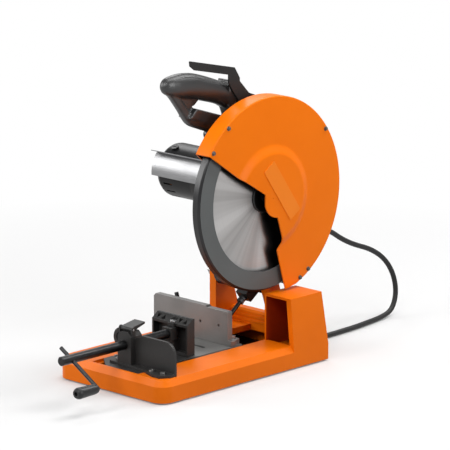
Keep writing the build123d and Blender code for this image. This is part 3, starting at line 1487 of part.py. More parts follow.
coil_high = coil_layers * 2 * cord_r
tail_y = coil_centre[1] - coil_line_r
plug_z = coil_high - cord_r - 0.4
tail_end_x = -84.0
with BuildPart() as cord_coil:
    with BuildSketch(at_z(0)):
        with Locations(coil_centre):
            Circle(coil_outer)
            Circle(coil_inner, mode=Mode.SUBTRACT)
    extrude(amount=coil_high)
    chamfer(cord_coil.faces().filter_by(Axis.Z).edges(), 2)
    # lead-in from the cord and tail to the plug
    with BuildSketch(at_y(coil_centre[1] + coil_stub)):
        with Locations((coil_centre[0] + coil_line_r, floor_z)):
            Circle(cord_r)
    extrude(amount=coil_stub)
    with BuildSketch(at_x(tail_end_x)):
        with Locations((tail_y, plug_z)):
            Circle(cord_r)
    extrude(amount=coil_centre[0] - tail_end_x)
save(cord_coil.part, "cord_coil")
turns = coil_turns * coil_layers
print("cord total", route_length + turns * 2 * pi * (coil_inner + coil_outer) / 2 + coil_stub + coil_centre[0] - tail_end_x)

with BuildPart() as power_plug:
    with BuildSketch(Plane(origin=(tail_end_x, tail_y, plug_z), x_dir=(0, 1, 0), z_dir=(-1, 0, 0))):
        Circle(7)
    with BuildSketch(Plane(origin=(tail_end_x - 24, tail_y, plug_z), x_dir=(0, 1, 0), z_dir=(-1, 0, 0))):
        Circle(9.5)
    loft()
    with BuildSketch(Plane(origin=(tail_end_x - 24, tail_y, plug_z), x_dir=(0, 1, 0), z_dir=(-1, 0, 0))):
        RectangleRounded(29, 27, 7)
    extrude(amount=28)
    for across in (-6.35, 6.35):
        with BuildSketch(Plane(origin=(tail_end_x - 52, tail_y + across, plug_z + 3), x_dir=(0, 1, 0),
                               z_dir=(-1, 0, 0))):
            Rectangle(1.5, 6.4)
        extrude(amount=17.5)
    with BuildSketch(Plane(origin=(tail_end_x - 52, tail_y, plug_z - 8.5), x_dir=(0, 1, 0), z_dir=(-1, 0, 0))):
        Circle(2.4)
    extrude(amount=20)
save(power_plug.part, "power_plug")
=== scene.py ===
import bpy, bmesh, json, math
from mathutils import Vector, Matrix


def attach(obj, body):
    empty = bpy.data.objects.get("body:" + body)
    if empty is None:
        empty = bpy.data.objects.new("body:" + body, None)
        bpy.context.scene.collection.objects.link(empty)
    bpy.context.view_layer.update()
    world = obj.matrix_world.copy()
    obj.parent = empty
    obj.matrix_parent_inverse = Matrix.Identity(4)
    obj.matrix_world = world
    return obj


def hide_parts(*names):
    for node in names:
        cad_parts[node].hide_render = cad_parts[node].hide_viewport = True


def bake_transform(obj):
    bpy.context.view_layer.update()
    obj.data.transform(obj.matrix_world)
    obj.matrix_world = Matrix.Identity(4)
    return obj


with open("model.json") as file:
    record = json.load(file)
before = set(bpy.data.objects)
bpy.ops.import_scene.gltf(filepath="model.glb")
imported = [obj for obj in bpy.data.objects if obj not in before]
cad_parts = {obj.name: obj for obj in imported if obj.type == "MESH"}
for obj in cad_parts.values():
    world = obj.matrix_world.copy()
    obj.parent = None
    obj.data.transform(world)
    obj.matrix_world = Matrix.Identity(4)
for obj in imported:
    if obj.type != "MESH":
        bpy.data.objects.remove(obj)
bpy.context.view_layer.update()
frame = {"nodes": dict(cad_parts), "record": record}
nodes = frame["nodes"]
record = frame["record"]
bodyOf = {node: body for body, held in record["behaviour"]["bodies"].items() for node in held}
arbor = next(joint["pos_m"][1:] for joint in record["behaviour"]["joints"] if joint["name"] == "blade_spin")


def newObject(name, data):
    made = bpy.data.objects.new(name, data)
    bpy.context.scene.collection.objects.link(made)
    return made


def feed(tree, value, socket):
    # a number, colour or vector is set on the socket, and another node's socket is linked to it
    if isinstance(value, bpy.types.NodeSocket):
        tree.links.new(value, socket)
    else:
        socket.default_value = value


def noiseNode(tree, place, scale, detail=3.0, rough=0.55):
    node = tree.nodes.new("ShaderNodeTexNoise")
    for label, value in (("Vector", place), ("Scale", scale), ("Detail", detail), ("Roughness", rough)):
        feed(tree, value, node.inputs[label])
    return node.outputs["Fac"]


def rangeNode(tree, value, low, high, toLow=0.0, toHigh=1.0):
    node = tree.nodes.new("ShaderNodeMapRange")
    for label, number in (("Value", value), ("From Min", low), ("From Max", high), ("To Min", toLow),
                          ("To Max", toHigh)):
        feed(tree, number, node.inputs[label])
    return node.outputs["Result"]


def mixColour(tree, amount, first, second):
    node = tree.nodes.new("ShaderNodeMix")
    node.data_type = "RGBA"
    colourInputs = [socket for socket in node.inputs if socket.type == "RGBA"]
    for value, socket in zip((amount, first, second), (node.inputs["Factor"], *colourInputs)):
        feed(tree, value, socket)
    return next(socket for socket in node.outputs if socket.type == "RGBA")


def mathNode(tree, operation, *values):
    node = tree.nodes.new("ShaderNodeMath")
    node.operation = operation
    for value, socket in zip(values, node.inputs):
        feed(tree, value, socket)
    return node.outputs["Value"]


def vectorNode(tree, operation, *values):
    node = tree.nodes.new("ShaderNodeVectorMath")
    node.operation = operation
    for value, socket in zip(values, node.inputs):
        feed(tree, value, socket)
    return node.outputs["Value" if operation == "LENGTH" else "Vector"]


def objectPlace(tree):
    return tree.nodes.new("ShaderNodeTexCoord").outputs["Object"]


# camera
view = {"azimuth": 44.157, "elevation": 13.33, "distance": 6.9262, "lens": 290.04,
        "sensor": 36, "farthest": 60, "target": (0.0848, 0.0, 0.30162)}
turn, tilt = math.radians(view["azimuth"]), math.radians(view["elevation"])
target = Vector(view["target"])
sightLine = Vector((math.sin(turn) * math.cos(tilt), -math.cos(turn) * math.cos(tilt), math.sin(tilt)))
camera = newObject("studioCamera", bpy.data.cameras.new("studioCamera"))
camera.data.lens, camera.data.sensor_width = view["lens"], view["sensor"]
camera.data.clip_end = view["farthest"]
camera.location = target + sightLine * view["distance"]
camera.rotation_euler = (-sightLine).to_track_quat("-Z", "Y").to_euler()
bpy.context.scene.camera = camera
bpy.context.scene.view_settings.view_transform = "Standard"

# world, lamps and floor, where each lamp is its name, place, size and power
studio = {"floorSeen": 0.66, "floorElse": 0.34, "floorMirror": 0.8, "floorReach": 14,
          "whiteNear": 0.1, "whiteFrom": 0.5, "whiteTo": 1.5, "worldGlow": 0.2, "worldMirror": 0.35,
          "lamps": [("keyLamp", (-0.2, -2.5, 2.0), 1.1, 30), ("frontLamp", (1.3, -2.0, 2.3), 1.0, 22),
                    ("sideLamp", (1.9, 0.15, 1.0), 0.8, 15), ("leftLamp", (-2.1, -1.7, 1.35), 1.2, 34),
                    ("rimLamp", (-1.6, 1.2, 1.9), 1.0, 14), ("topLamp", (0.25, 0.25, 2.6), 1.3, 20),
                    ("backLamp", (0.5, 1.5, 2.1), 1.3, 36)]}

world = bpy.data.worlds.new("studioWorld")
bpy.context.scene.world = world
world.use_nodes = True
worldTree = world.node_tree
glow = worldTree.nodes["Background"]
glow.inputs["Color"].default_value = (1, 1, 1, 1)
# full white to the eye, less in what metal mirrors, and least as a light
worldPath = worldTree.nodes.new("ShaderNodeLightPath")
worldShare = mathNode(worldTree, "MULTIPLY_ADD", worldPath.outputs["Is Glossy Ray"], studio["worldMirror"],
                      worldPath.outputs["Is Camera Ray"])
feed(worldTree, rangeNode(worldTree, worldShare, 0, 1, studio["worldGlow"], 1), glow.inputs["Strength"])

for lampName, spot, size, power in studio["lamps"]:
    lamp = newObject(lampName, bpy.data.lights.new(lampName, "AREA"))
    lamp.data.size, lamp.data.energy = size, power
    lamp.location = spot
    lamp.rotation_euler = (target - Vector(spot)).to_track_quat("-Z", "Y").to_euler()

floorMesh = bpy.data.meshes.new("studioFloor")
reach = studio["floorReach"]
floorMesh.from_pydata([(-reach, -reach, 0), (reach, -reach, 0), (reach, reach, 0), (-reach, reach, 0)], [],
                      [(0, 1, 2, 3)])
floor = newObject("studioFloor", floorMesh)
floorFinish = bpy.data.materials.new("studioFloor")
floorFinish.use_nodes = True
floorTree = floorFinish.node_tree
floorTree.nodes.clear()
floorOut = floorTree.nodes.new("ShaderNodeOutputMaterial")
floorMix = floorTree.nodes.new("ShaderNodeMixShader")
matt = floorTree.nodes.new("ShaderNodeBsdfDiffuse")
lit = floorTree.nodes.new("ShaderNodeEmission")
floorPath = floorTree.nodes.new("ShaderNodeLightPath")
seen, mirrored = floorPath.outputs["Is Camera Ray"], floorPath.outputs["Is Glossy Ray"]
tone = rangeNode(floorTree, seen, 0, 1, studio["floorElse"], studio["floorSeen"])
# whiter away from the object, so only its own shadow shows
away = vectorNode(floorTree, "LENGTH", objectPlace(floorTree))
white = rangeNode(floorTree, away, studio["whiteFrom"], studio["whiteTo"], studio["whiteNear"], 1)
# polished metal sees the floor nearly white everywhere
share = mathNode(floorTree, "MAXIMUM", mathNode(floorTree, "MULTIPLY", seen, white),
                 mathNode(floorTree, "MULTIPLY", mirrored, studio["floorMirror"]))
feed(floorTree, tone, matt.inputs["Color"])
feed(floorTree, share, floorMix.inputs["Fac"])
feed(floorTree, matt.outputs[0], floorMix.inputs[1])
feed(floorTree, lit.outputs[0], floorMix.inputs[2])
feed(floorTree, floorMix.outputs[0], floorOut.inputs["Surface"])
floorMesh.materials.append(floorFinish)
print("studio ready")


def newGroup(name, ins, outs):
    group = bpy.data.node_groups.new(name, "ShaderNodeTree")
    for label, kind, value in ins:
        socket = group.interface.new_socket(label, in_out="INPUT", socket_type="NodeSocket" + kind)
        socket.default_value = value
    for label, kind in outs:
        group.interface.new_socket(label, in_out="OUTPUT", socket_type="NodeSocket" + kind)
    return group, group.nodes.new("NodeGroupInput").outputs, group.nodes.new("NodeGroupOutput").inputs


# paint, castings and moulded plastic: a tint that wanders, fine grain, and specks of dust
grainPlan = {"tintSpan": (0.32, 0.68), "roughSpan": (0.3, 0.7), "speckScale": 260.0, "speckSpan": (0.6, 0.74),
             "dust": (0.62, 0.6, 0.57, 1)}
grainGroup, given, result = newGroup(
    "surfaceGrain",
    [("Colour", "Color", (0.5, 0.5, 0.5, 1)), ("Second Colour", "Color", (0.4, 0.4, 0.4, 1)),
     ("Patch Scale", "Float", 9.0), ("Grain Scale", "Float", 700.0), ("Speck Amount", "Float", 0.1),
     ("Roughness Low", "Float", 0.3), ("Roughness High", "Float", 0.45)],
    [("Colour", "Color"), ("Roughness", "Float"), ("Height", "Float")])
place = objectPlace(grainGroup)
patches = noiseNode(grainGroup, place, given["Patch Scale"], 4)
grain = noiseNode(grainGroup, place, given["Grain Scale"], 2, 0.6)
specks = noiseNode(grainGroup, place, grainPlan["speckScale"], 5, 0.7)
tint = mixColour(grainGroup, rangeNode(grainGroup, patches, *grainPlan["tintSpan"]), given["Colour"],
                 given["Second Colour"])
dusty = mathNode(grainGroup, "MULTIPLY", rangeNode(grainGroup, specks, *grainPlan["speckSpan"]),
                 given["Speck Amount"])
feed(grainGroup, mixColour(grainGroup, dusty, tint, grainPlan["dust"]), result["Colour"])
feed(grainGroup, rangeNode(grainGroup, patches, *grainPlan["roughSpan"], given["Roughness Low"],
                           given["Roughness High"]), result["Roughness"])
feed(grainGroup, grain, result["Height"])

# turned or ground metal: fine lines stretched along one axis, and smudges
linePlan = {"lineSpan": (0.35, 0.7), "smudgeScale": 14.0, "smudgeSpan": (0.3, 0.7)}
lineGroup, given, result = newGroup(
    "groundLines",
    [("Colour", "Color", (0.5, 0.5, 0.5, 1)), ("Dark Colour", "Color", (0.3, 0.3, 0.3, 1)),
     ("Stretch", "Vector", (1, 1, 1)), ("Line Scale", "Float", 60.0),
     ("Roughness Low", "Float", 0.2), ("Roughness High", "Float", 0.35)],
    [("Colour", "Color"), ("Roughness", "Float"), ("Height", "Float")])
place = objectPlace(lineGroup)
lines = noiseNode(lineGroup, vectorNode(lineGroup, "MULTIPLY", place, given["Stretch"]), given["Line Scale"],
                  3, 0.6)
smudge = noiseNode(lineGroup, place, linePlan["smudgeScale"], 4)
feed(lineGroup, mixColour(lineGroup, rangeNode(lineGroup, lines, *linePlan["lineSpan"]), given["Colour"],
                          given["Dark Colour"]), result["Colour"])
feed(lineGroup, rangeNode(lineGroup, smudge, *linePlan["smudgeSpan"], given["Roughness Low"],
                          given["Roughness High"]), result["Roughness"])
feed(lineGroup, lines, result["Height"])


def startMaterial(name, look, effectGroup, values):
    # a material with one shared effect, whose colour, roughness and height lead to the shader
    finish = bpy.data.materials.new(name)
    finish.use_nodes = True
    tree = finish.node_tree
    shader = tree.nodes["Principled BSDF"]
    effect = tree.nodes.new("ShaderNodeGroup")
    effect.node_tree = effectGroup
    low, high = look["rough"]
    values = {"Colour": (*look["colour"], 1), "Roughness Low": low, "Roughness High": high, **values}
    for label, value in values.items():
        effect.inputs[label].default_value = value
    feed(tree, effect.outputs["Colour"], shader.inputs["Base Color"])
    feed(tree, effect.outputs["Roughness"], shader.inputs["Roughness"])
    bump = tree.nodes.new("ShaderNodeBump")
    bump.inputs["Strength"].default_value, bump.inputs["Distance"].default_value = look["bump"], look["depth"]
    feed(tree, effect.outputs["Height"], bump.inputs["Height"])
    if look["edge"]:
        # edges catch the light as if they were rounded
        soft = tree.nodes.new("ShaderNodeBevel")
        soft.samples, soft.inputs["Radius"].default_value = 4, look["edge"]
        feed(tree, soft.outputs["Normal"], bump.inputs["Normal"])
    feed(tree, bump.outputs["Normal"], shader.inputs["Normal"])
    return finish, tree, shader, effect.outputs["Colour"]


# what a look has unless it says otherwise
usualGrain = {"patch": 9.0, "grain": 700.0, "speck": 0.05, "bump": 0.3, "depth": 0.0004, "edge": 0.001,
              "metal": 0.0, "gloss": 0.5}
usualMetal = {"stretch": (1, 1, 1), "bump": 0.12, "depth": 0.0003, "edge": 0.0008}


def grainMaterial(name, look):
    look = {**usualGrain, **look}
    finish, tree, shader, colour = startMaterial(name, look, grainGroup, {
        "Second Colour": (*look["second"], 1), "Patch Scale": look["patch"], "Grain Scale": look["grain"],
        "Speck Amount": look["speck"]})
    if "rubbedAndLit" in look:
        # rubbed bright where the work slides, and painted shade: darker towards the front of the bed
        along = tree.nodes.new("ShaderNodeSeparateXYZ")
        feed(tree, objectPlace(tree), along.inputs[0])
        rubbedOutOfShade = rangeNode(tree, along.outputs["Y"], look["shadeEndsFrom"], look["shadeEndsTo"])
        feed(tree, mixColour(tree, rubbedOutOfShade, colour, (*look["rubbedAndLit"], 1)), shader.inputs["Base Color"])
    shader.inputs["Metallic"].default_value = look["metal"]
    shader.inputs["Specular IOR Level"].default_value = look["gloss"]
    return finish


def grindAndSheenFromCentre(tree, shader, look):
    # turned on a face plate: circles about the arbor, a painted sheen in fans, and a highlight drawn out
    # along the radius
    shift = vectorNode(tree, "SUBTRACT", objectPlace(tree), (0, *look["turnedAbout"]))
    circles = tree.nodes.new("ShaderNodeTexNoise")
    circles.noise_dimensions = "1D"
    circles.inputs["Scale"].default_value = look["circles"]
    feed(tree, vectorNode(tree, "LENGTH", shift), circles.inputs["W"])
    ringed = mixColour(tree, rangeNode(tree, circles.outputs["Fac"], *look["circleSpan"]),
                       (*look["colour"], 1), (*look["dark"], 1))
    # painted sheen: fans of lighter and darker colour that start at the arbor, standing in for the blade's
    # bow-tie highlight
    outward = vectorNode(tree, "NORMALIZE", vectorNode(tree, "MULTIPLY", shift, (0, 1, 1)))
    sheenFans = rangeNode(tree, noiseNode(tree, outward, look["sheenFans"], 3), *look["sheenFanSpan"])
    feed(tree, mixColour(tree, sheenFans, ringed, (*look["sheenFanColour"], 1)), shader.inputs["Base Color"])
    feed(tree, shift, shader.inputs["Tangent"])
    shader.inputs["Anisotropic"].default_value = look["pull"]


def metalMaterial(name, look):
    look = {**usualMetal, **look}
    finish, tree, shader, _ = startMaterial(name, look, lineGroup, {
        "Dark Colour": (*look["dark"], 1), "Stretch": look["stretch"], "Line Scale": look["scale"]})
    shader.inputs["Metallic"].default_value = 1.0
    if "turnedAbout" in look:
        grindAndSheenFromCentre(tree, shader, look)
    return finish


# paints, castings and plastics
looks = {
    "orangePaint": {"colour": (0.86, 0.178, 0.0015), "second": (0.83, 0.166, 0.0012), "rough": (0.34, 0.42),
                    "gloss": 0.12, "grain": 420.0, "bump": 0.04, "edge": 0.0016, "speck": 0.0},
    "baseOrange": {"colour": (0.80, 0.16, 0.001), "second": (0.75, 0.145, 0.0008), "rough": (0.34, 0.44),
                   "gloss": 0.14, "grain": 520.0, "bump": 0.1, "edge": 0, "speck": 0.02},
    # a darker orange, painted shade for the inside of the tower's hollow
    "paintedHollowShade": {"colour": (0.36, 0.035, 0.002), "second": (0.3, 0.028, 0.002), "rough": (0.5, 0.6),
                  "gloss": 0.1, "grain": 520.0, "bump": 0.1, "edge": 0, "speck": 0.03},
    "plateOrange": {"colour": (0.86, 0.21, 0.006), "second": (0.84, 0.2, 0.005), "rough": (0.3, 0.4),
                    "gloss": 0.25, "grain": 420.0, "bump": 0.05, "edge": 0, "speck": 0.0},
    "blackPaint": {"colour": (0.009, 0.009, 0.009), "second": (0.014, 0.0135, 0.013), "rough": (0.34, 0.46),
                   "gloss": 0.3, "grain": 600.0, "bump": 0.12, "speck": 0.04},
    "greyCasting": {"colour": (0.19, 0.184, 0.178), "second": (0.26, 0.25, 0.243), "rough": (0.36, 0.48),
                    "metal": 0.6, "gloss": 0.4, "grain": 900.0, "bump": 0.35, "speck": 0.08},
    "darkPlate": {"colour": (0.02, 0.0195, 0.019), "second": (0.032, 0.03, 0.029), "rough": (0.38, 0.54),
                  "metal": 0.2, "gloss": 0.3, "grain": 800.0, "bump": 0.3, "speck": 0.06},
    # the bed: lighter behind, where the work rubs it, and darker towards the front as painted shade
    "bedSteel": {"colour": (0.02, 0.0195, 0.019), "second": (0.03, 0.029, 0.028), "rough": (0.34, 0.46),
                 "metal": 0.2, "gloss": 0.35, "grain": 800.0, "bump": 0.2, "speck": 0.05,
                 "rubbedAndLit": (0.17, 0.168, 0.162), "shadeEndsFrom": -0.066, "shadeEndsTo": -0.04},
    "guardGrey": {"colour": (0.105, 0.112, 0.112), "second": (0.09, 0.096, 0.096), "rough": (0.38, 0.48),
                  "gloss": 0.3, "grain": 600.0, "bump": 0.08, "speck": 0.02},
    "guardRim": {"colour": (0.008, 0.008, 0.009), "second": (0.012, 0.012, 0.013), "rough": (0.26, 0.36),
                 "gloss": 0.45, "grain": 600.0, "bump": 0.1, "speck": 0.02},
    # near black: painted shade for the shaded insides of the guards
    "paintedGuardShade": {"colour": (0.006, 0.005, 0.005), "second": (0.01, 0.009, 0.008), "rough": (0.5, 0.65),
                    "gloss": 0.2, "grain": 500.0, "bump": 0.2, "speck": 0.03},
    "gripPlastic": {"colour": (0.008, 0.008, 0.0085), "second": (0.011, 0.011, 0.011), "rough": (0.36, 0.4),
                    "grain": 1500.0, "bump": 0.01, "speck": 0.0, "gloss": 0.75, "edge": 0},
    "motorPlastic": {"colour": (0.005, 0.005, 0.0055), "second": (0.008, 0.008, 0.008),
                     "rough": (0.3, 0.38), "grain": 1200.0, "bump": 0.02, "speck": 0.01,
                     "gloss": 0.22, "edge": 0},
    "blackPlastic": {"colour": (0.009, 0.009, 0.0095), "second": (0.013, 0.013, 0.0135),
                     "rough": (0.32, 0.42), "grain": 1300.0, "bump": 0.05, "speck": 0.02, "gloss": 0.4},
    "leverPaint": {"colour": (0.012, 0.012, 0.0125), "second": (0.019, 0.0185, 0.0185),
                   "rough": (0.36, 0.48), "gloss": 0.25, "grain": 700.0, "bump": 0.2,
                   "speck": 0.03, "edge": 0},
    "rubberBlack": {"colour": (0.01, 0.01, 0.01), "second": (0.017, 0.0165, 0.016), "rough": (0.55, 0.7),
                    "gloss": 0.3, "grain": 1100.0, "bump": 0.3, "speck": 0.05},
    "cordRubber": {"colour": (0.01, 0.01, 0.01), "second": (0.016, 0.0155, 0.0155), "rough": (0.45, 0.56),
                   "gloss": 0.35, "grain": 900.0, "bump": 0.15, "speck": 0.03, "edge": 0},
    "redPlastic": {"colour": (0.42, 0.02, 0.014), "second": (0.36, 0.018, 0.012), "rough": (0.3, 0.4),
                   "grain": 1200.0, "bump": 0.15},
    "coilVarnish": {"colour": (0.45, 0.17, 0.05), "second": (0.3, 0.1, 0.03), "rough": (0.3, 0.45),
                    "metal": 0.6, "grain": 900.0, "bump": 0.5},
    "carbonBlock": {"colour": (0.03, 0.03, 0.03), "second": (0.05, 0.05, 0.05), "rough": (0.5, 0.7)},
}
# bare metals
metals = {
    "groundSteel": {"colour": (0.42, 0.42, 0.42), "dark": (0.26, 0.26, 0.265), "stretch": (1, 8, 1),
                    "scale": 90.0, "rough": (0.28, 0.42)},
    "darkSteel": {"colour": (0.05, 0.05, 0.051), "dark": (0.03, 0.03, 0.031), "stretch": (6, 1, 6),
                  "scale": 90.0, "rough": (0.28, 0.4)},
    "polishedSheet": {"colour": (0.29, 0.29, 0.294), "dark": (0.24, 0.24, 0.244), "stretch": (0.6, 12, 12),
                      "scale": 60.0, "rough": (0.34, 0.42), "bump": 0.05, "edge": 0},
    "zincPlate": {"colour": (0.36, 0.35, 0.34), "dark": (0.24, 0.235, 0.23), "scale": 240.0,
                  "rough": (0.26, 0.4)},
    "darkZinc": {"colour": (0.16, 0.155, 0.15), "dark": (0.09, 0.088, 0.085), "scale": 240.0,
                 "rough": (0.3, 0.42)},
    "castAluminium": {"colour": (0.45, 0.45, 0.45), "dark": (0.32, 0.32, 0.32), "scale": 300.0,
                      "rough": (0.4, 0.55)},
    "bladeSteel": {"colour": (0.6, 0.585, 0.578), "dark": (0.53, 0.518, 0.51), "scale": 9.0,
                   "rough": (0.32, 0.38), "bump": 0.02, "edge": 0, "turnedAbout": arbor,
                   # the fans are painted sheen: lighter and darker sectors in the blade's colour
                   "circles": 900, "circleSpan": (0.35, 0.65), "sheenFans": 2.3, "sheenFanSpan": (0.36, 0.62),
                   "sheenFanColour": (0.37, 0.358, 0.352), "pull": 0.92},
}
finishes = {name: grainMaterial(name, look) for name, look in looks.items()}
finishes.update({name: metalMaterial(name, look) for name, look in metals.items()})

# which solids wear which finish
dress = {
    "orangePaint": ["base_frame", "upper_guard", "guard_cover", "name_plate"],
    "blackPaint": ["bottom_pan", "release_flap", "gear_case", "lever_bracket", "guard_lever"],
    "greyCasting": ["fence"],
    "bedSteel": ["bed_plate"],
    "darkPlate": ["vise_bracket", "release_housing", "jaw_carrier", "vise_jaw"],
    "guardGrey": ["lower_guard"],
    "blackPlastic": ["crank_knob", "motor_housing", "motor_end_cap", "brush_caps", "cooling_fan",
                     "handle_right", "handle_left", "trigger", "spindle_lock_button"],
    "rubberBlack": ["rubber_feet", "strain_relief", "power_cord", "cord_coil", "power_plug"],
    "redPlastic": ["lock_off_button"],
    "coilVarnish": ["field_coils"],
    "carbonBlock": ["carbon_brushes"],
    "groundSteel": ["half_nut", "jaw_pin", "release_pin", "drive_gear", "arbor_shaft", "armature",
                    "ball_bearings", "hinge_pins", "pivot_shaft"],
    "darkSteel": ["fence_lock_lever", "vise_spindle", "crank_rod", "outer_flange", "arbor_bolt",
                  "depth_stop"],
    "polishedSheet": ["chip_shield"],
    "bladeSteel": ["saw_blade"],
    "zincPlate": ["bed_screws", "fence_pivot_bolt", "fence_lock_bolt", "bracket_bolts", "pivot_nut",
                  "case_screws", "inner_flange", "cover_screws", "handle_screws"],
    "castAluminium": ["gear_cover"],
}
for finishName, wearers in dress.items():
    for wearer in wearers:
        for holder in nodes[wearer].material_slots:
            holder.material = finishes[finishName]
print("finishes on", sum(len(wearers) for wearers in dress.values()), "nodes")


def meshPiece(name, mesh, body, replaced):
    # the finished mesh becomes a piece that rides on its body in place of the plain nodes
    piece = newObject(name, mesh)
    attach(piece, body)
    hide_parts(*replaced)


def bentMoreThan(edge, degrees):
    return len(edge.link_faces) == 2 and edge.calc_face_angle(0) > math.radians(degrees)


def dressMesh(mesh, finishNames, sharpAngle=32):
    # finishes by slot, and smooth shading except at sharp edges
    slots = [face.material_index for face in mesh.polygons]
    mesh.materials.clear()
    for finishName in finishNames:
        mesh.materials.append(finishes[finishName])
    mesh.polygons.foreach_set("material_index", [min(slot, len(finishNames) - 1) for slot in slots])
    work = bmesh.new()
    work.from_mesh(mesh)
    for face in work.faces:
        face.smooth = True
    for edge in work.edges:
        edge.smooth = not bentMoreThan(edge, sharpAngle)
    work.to_mesh(mesh)
    work.free()


def bake(holder, name):
    # what the modifiers make of the object, as a plain mesh
    bpy.context.view_layer.update()
    mesh = bpy.data.meshes.new_from_object(holder.evaluated_get(bpy.context.evaluated_depsgraph_get()))
    mesh.name = name
    return mesh


softenPlan = {"sharpAngle": 34, "flatAngle": 0.8, "mergeWithin": 2e-5, "segments": 2}


def roundedCopy(name, source, width, finishName):
    # a merged copy of a solid whose sharp edges are rounded off
    mesh = nodes[source].data.copy()
    mesh.name = name
    work = bmesh.new()
    work.from_mesh(mesh)
    bmesh.ops.remove_doubles(work, verts=work.verts, dist=softenPlan["mergeWithin"])
    bmesh.ops.dissolve_limit(work, angle_limit=math.radians(softenPlan["flatAngle"]), verts=work.verts,
                             edges=work.edges)
    sharp = [edge for edge in work.edges if bentMoreThan(edge, softenPlan["sharpAngle"])]
    bmesh.ops.bevel(work, geom=sharp, offset=width, offset_type="OFFSET", segments=softenPlan["segments"],
                    profile=0.5, affect="EDGES", clamp_overlap=True)
    bmesh.ops.recalc_face_normals(work, faces=work.faces)
    work.to_mesh(mesh)
    work.free()
    if "custom_normal" in mesh.attributes:
        mesh.attributes.remove(mesh.attributes["custom_normal"])
    dressMesh(mesh, [finishName])
    # the flat faces stay flat, and only the rounded edges bend the light
    holder = newObject(name + "Work", mesh)
    flatten = holder.modifiers.new("flatten", "WEIGHTED_NORMAL")
    flatten.keep_sharp, flatten.weight = True, 100
    finished = bake(holder, name)
    bpy.data.objects.remove(holder)
    bpy.data.meshes.remove(mesh)
    finished.name = name
    meshPiece(name, finished, bodyOf[source], [source])


def closeWork(work, name):
    # the worked shape as a mesh whose faces point outwards
    bmesh.ops.recalc_face_normals(work, faces=work.faces)
    mesh = bpy.data.meshes.new(name)
    work.to_mesh(mesh)
    work.free()
    return mesh


def band(work, first, second):
    # faces between two rings of the same number of points
    count = len(first)
    return [work.faces.new((first[k], first[(k + 1) % count], second[(k + 1) % count], second[k]))
            for k in range(count)]


def lathe(name, outline, centre=(0, 0), start=0.0, end=360.0, steps=180, inner=()):
    # closed outline of (x, radius) pairs turned about the X axis through centre
    # inner names the outline's edges that take the second finish
    work = bmesh.new()
    whole = end - start >= 360
    rings = []
    for step in range(steps if whole else steps + 1):
        angle = math.radians(start + (end - start) * step / steps)
        rings.append([work.verts.new((x, centre[0] + r * math.cos(angle), centre[1] + r * math.sin(angle)))
                      for x, r in outline])
    pairs = list(zip(rings, rings[1:])) + ([(rings[-1], rings[0])] if whole else [])
    for first, second in pairs:
        for k, face in enumerate(band(work, first, second)):
            face.material_index = 1 if k in inner else 0
    if not whole:
        work.faces.new(rings[0])
        work.faces.new(rings[-1][::-1])
    return closeWork(work, name)


def prism(name, outline, low, high):
    # closed outline of (y, z) pairs, pulled along X
    work = bmesh.new()
    near = [work.verts.new((low, *pair)) for pair in outline]
    far = [work.verts.new((high, *pair)) for pair in outline]
    work.faces.new(near)
    work.faces.new(far[::-1])
    for k in range(len(outline)):
        after = (k + 1) % len(outline)
        work.faces.new((near[k], far[k], far[after], near[after]))
    return closeWork(work, name)


def cutMesh(name, mesh, tools, how="INTERSECT"):
    holder = newObject(name + "Work", mesh)
    cutters = []
    for tool in tools:
        cutter = newObject(name + "Tool", tool)
        cutters.append(cutter)
        cut = holder.modifiers.new("cut", "BOOLEAN")
        cut.operation, cut.solver, cut.object = how, "EXACT", cutter
    result = bake(holder, name)
    for spent in cutters + [holder]:
        bpy.data.objects.remove(spent)
    return result


def joinMeshes(name, meshes):
    work = bmesh.new()
    for mesh in meshes:
        work.from_mesh(mesh)
    joined = bpy.data.meshes.new(name)
    work.to_mesh(joined)
    work.free()
    return joined


def mm(pairs):
    return [tuple(value / 1000 for value in pair) for pair in pairs]


def onCurve(before, here, there, after, t):
    # a point between here and there on a smooth line through all four
    return [0.5 * (2 * b + (c - a) * t + (2 * a - 5 * b + 4 * c - d) * t * t
                   + (3 * b - a - 3 * c + d) * t ** 3)
            for a, b, c, d in zip(before, here, there, after)]


def sweep(name, spine, sizes, square, around=40, between=10):
    # superellipse sections (half width across X, half height in the plane) along a line in the plane X=0
    points = []
    for k in range(len(spine) - 1):
        before, after = spine[max(k - 1, 0)], spine[min(k + 2, len(spine) - 1)]
        for step in range(between):
            t = step / between
            size = [p + (q - p) * t for p, q in zip(sizes[k], sizes[k + 1])]
            points.append((onCurve(before, spine[k], spine[k + 1], after, t), size))
    points.append((list(spine[-1]), list(sizes[-1])))
    work = bmesh.new()
    rings = []
    for k, (point, size) in enumerate(points):
        ahead, behind = points[min(k + 1, len(points) - 1)][0], points[max(k - 1, 0)][0]
        along = Vector((ahead[0] - behind[0], ahead[1] - behind[1])).normalized()
        ring = []
        for step in range(around):
            angle = 2 * math.pi * step / around
            across = math.copysign(abs(math.cos(angle)) ** (2 / square), math.cos(angle)) * size[0]
            up = math.copysign(abs(math.sin(angle)) ** (2 / square), math.sin(angle)) * size[1]
            ring.append(work.verts.new((across, point[0] - along.y * up, point[1] + along.x * up)))
        rings.append(ring)
    for first, second in zip(rings, rings[1:]):
        band(work, first, second)
    work.faces.new(rings[0])
    work.faces.new(rings[-1][::-1])
    return closeWork(work, name)


def moulded(name, meshes, voxel, smoothing):
    # closed shapes melted into one skin
    holder = newObject(name + "Work", joinMeshes(name + "Raw", meshes))
    skin = holder.modifiers.new("skin", "REMESH")
    skin.mode, skin.voxel_size = "VOXEL", voxel
    soften = holder.modifiers.new("soften", "SMOOTH")
    soften.factor, soften.iterations = 0.5, smoothing
    result = bake(holder, name)
    bpy.data.objects.remove(holder)
    return result


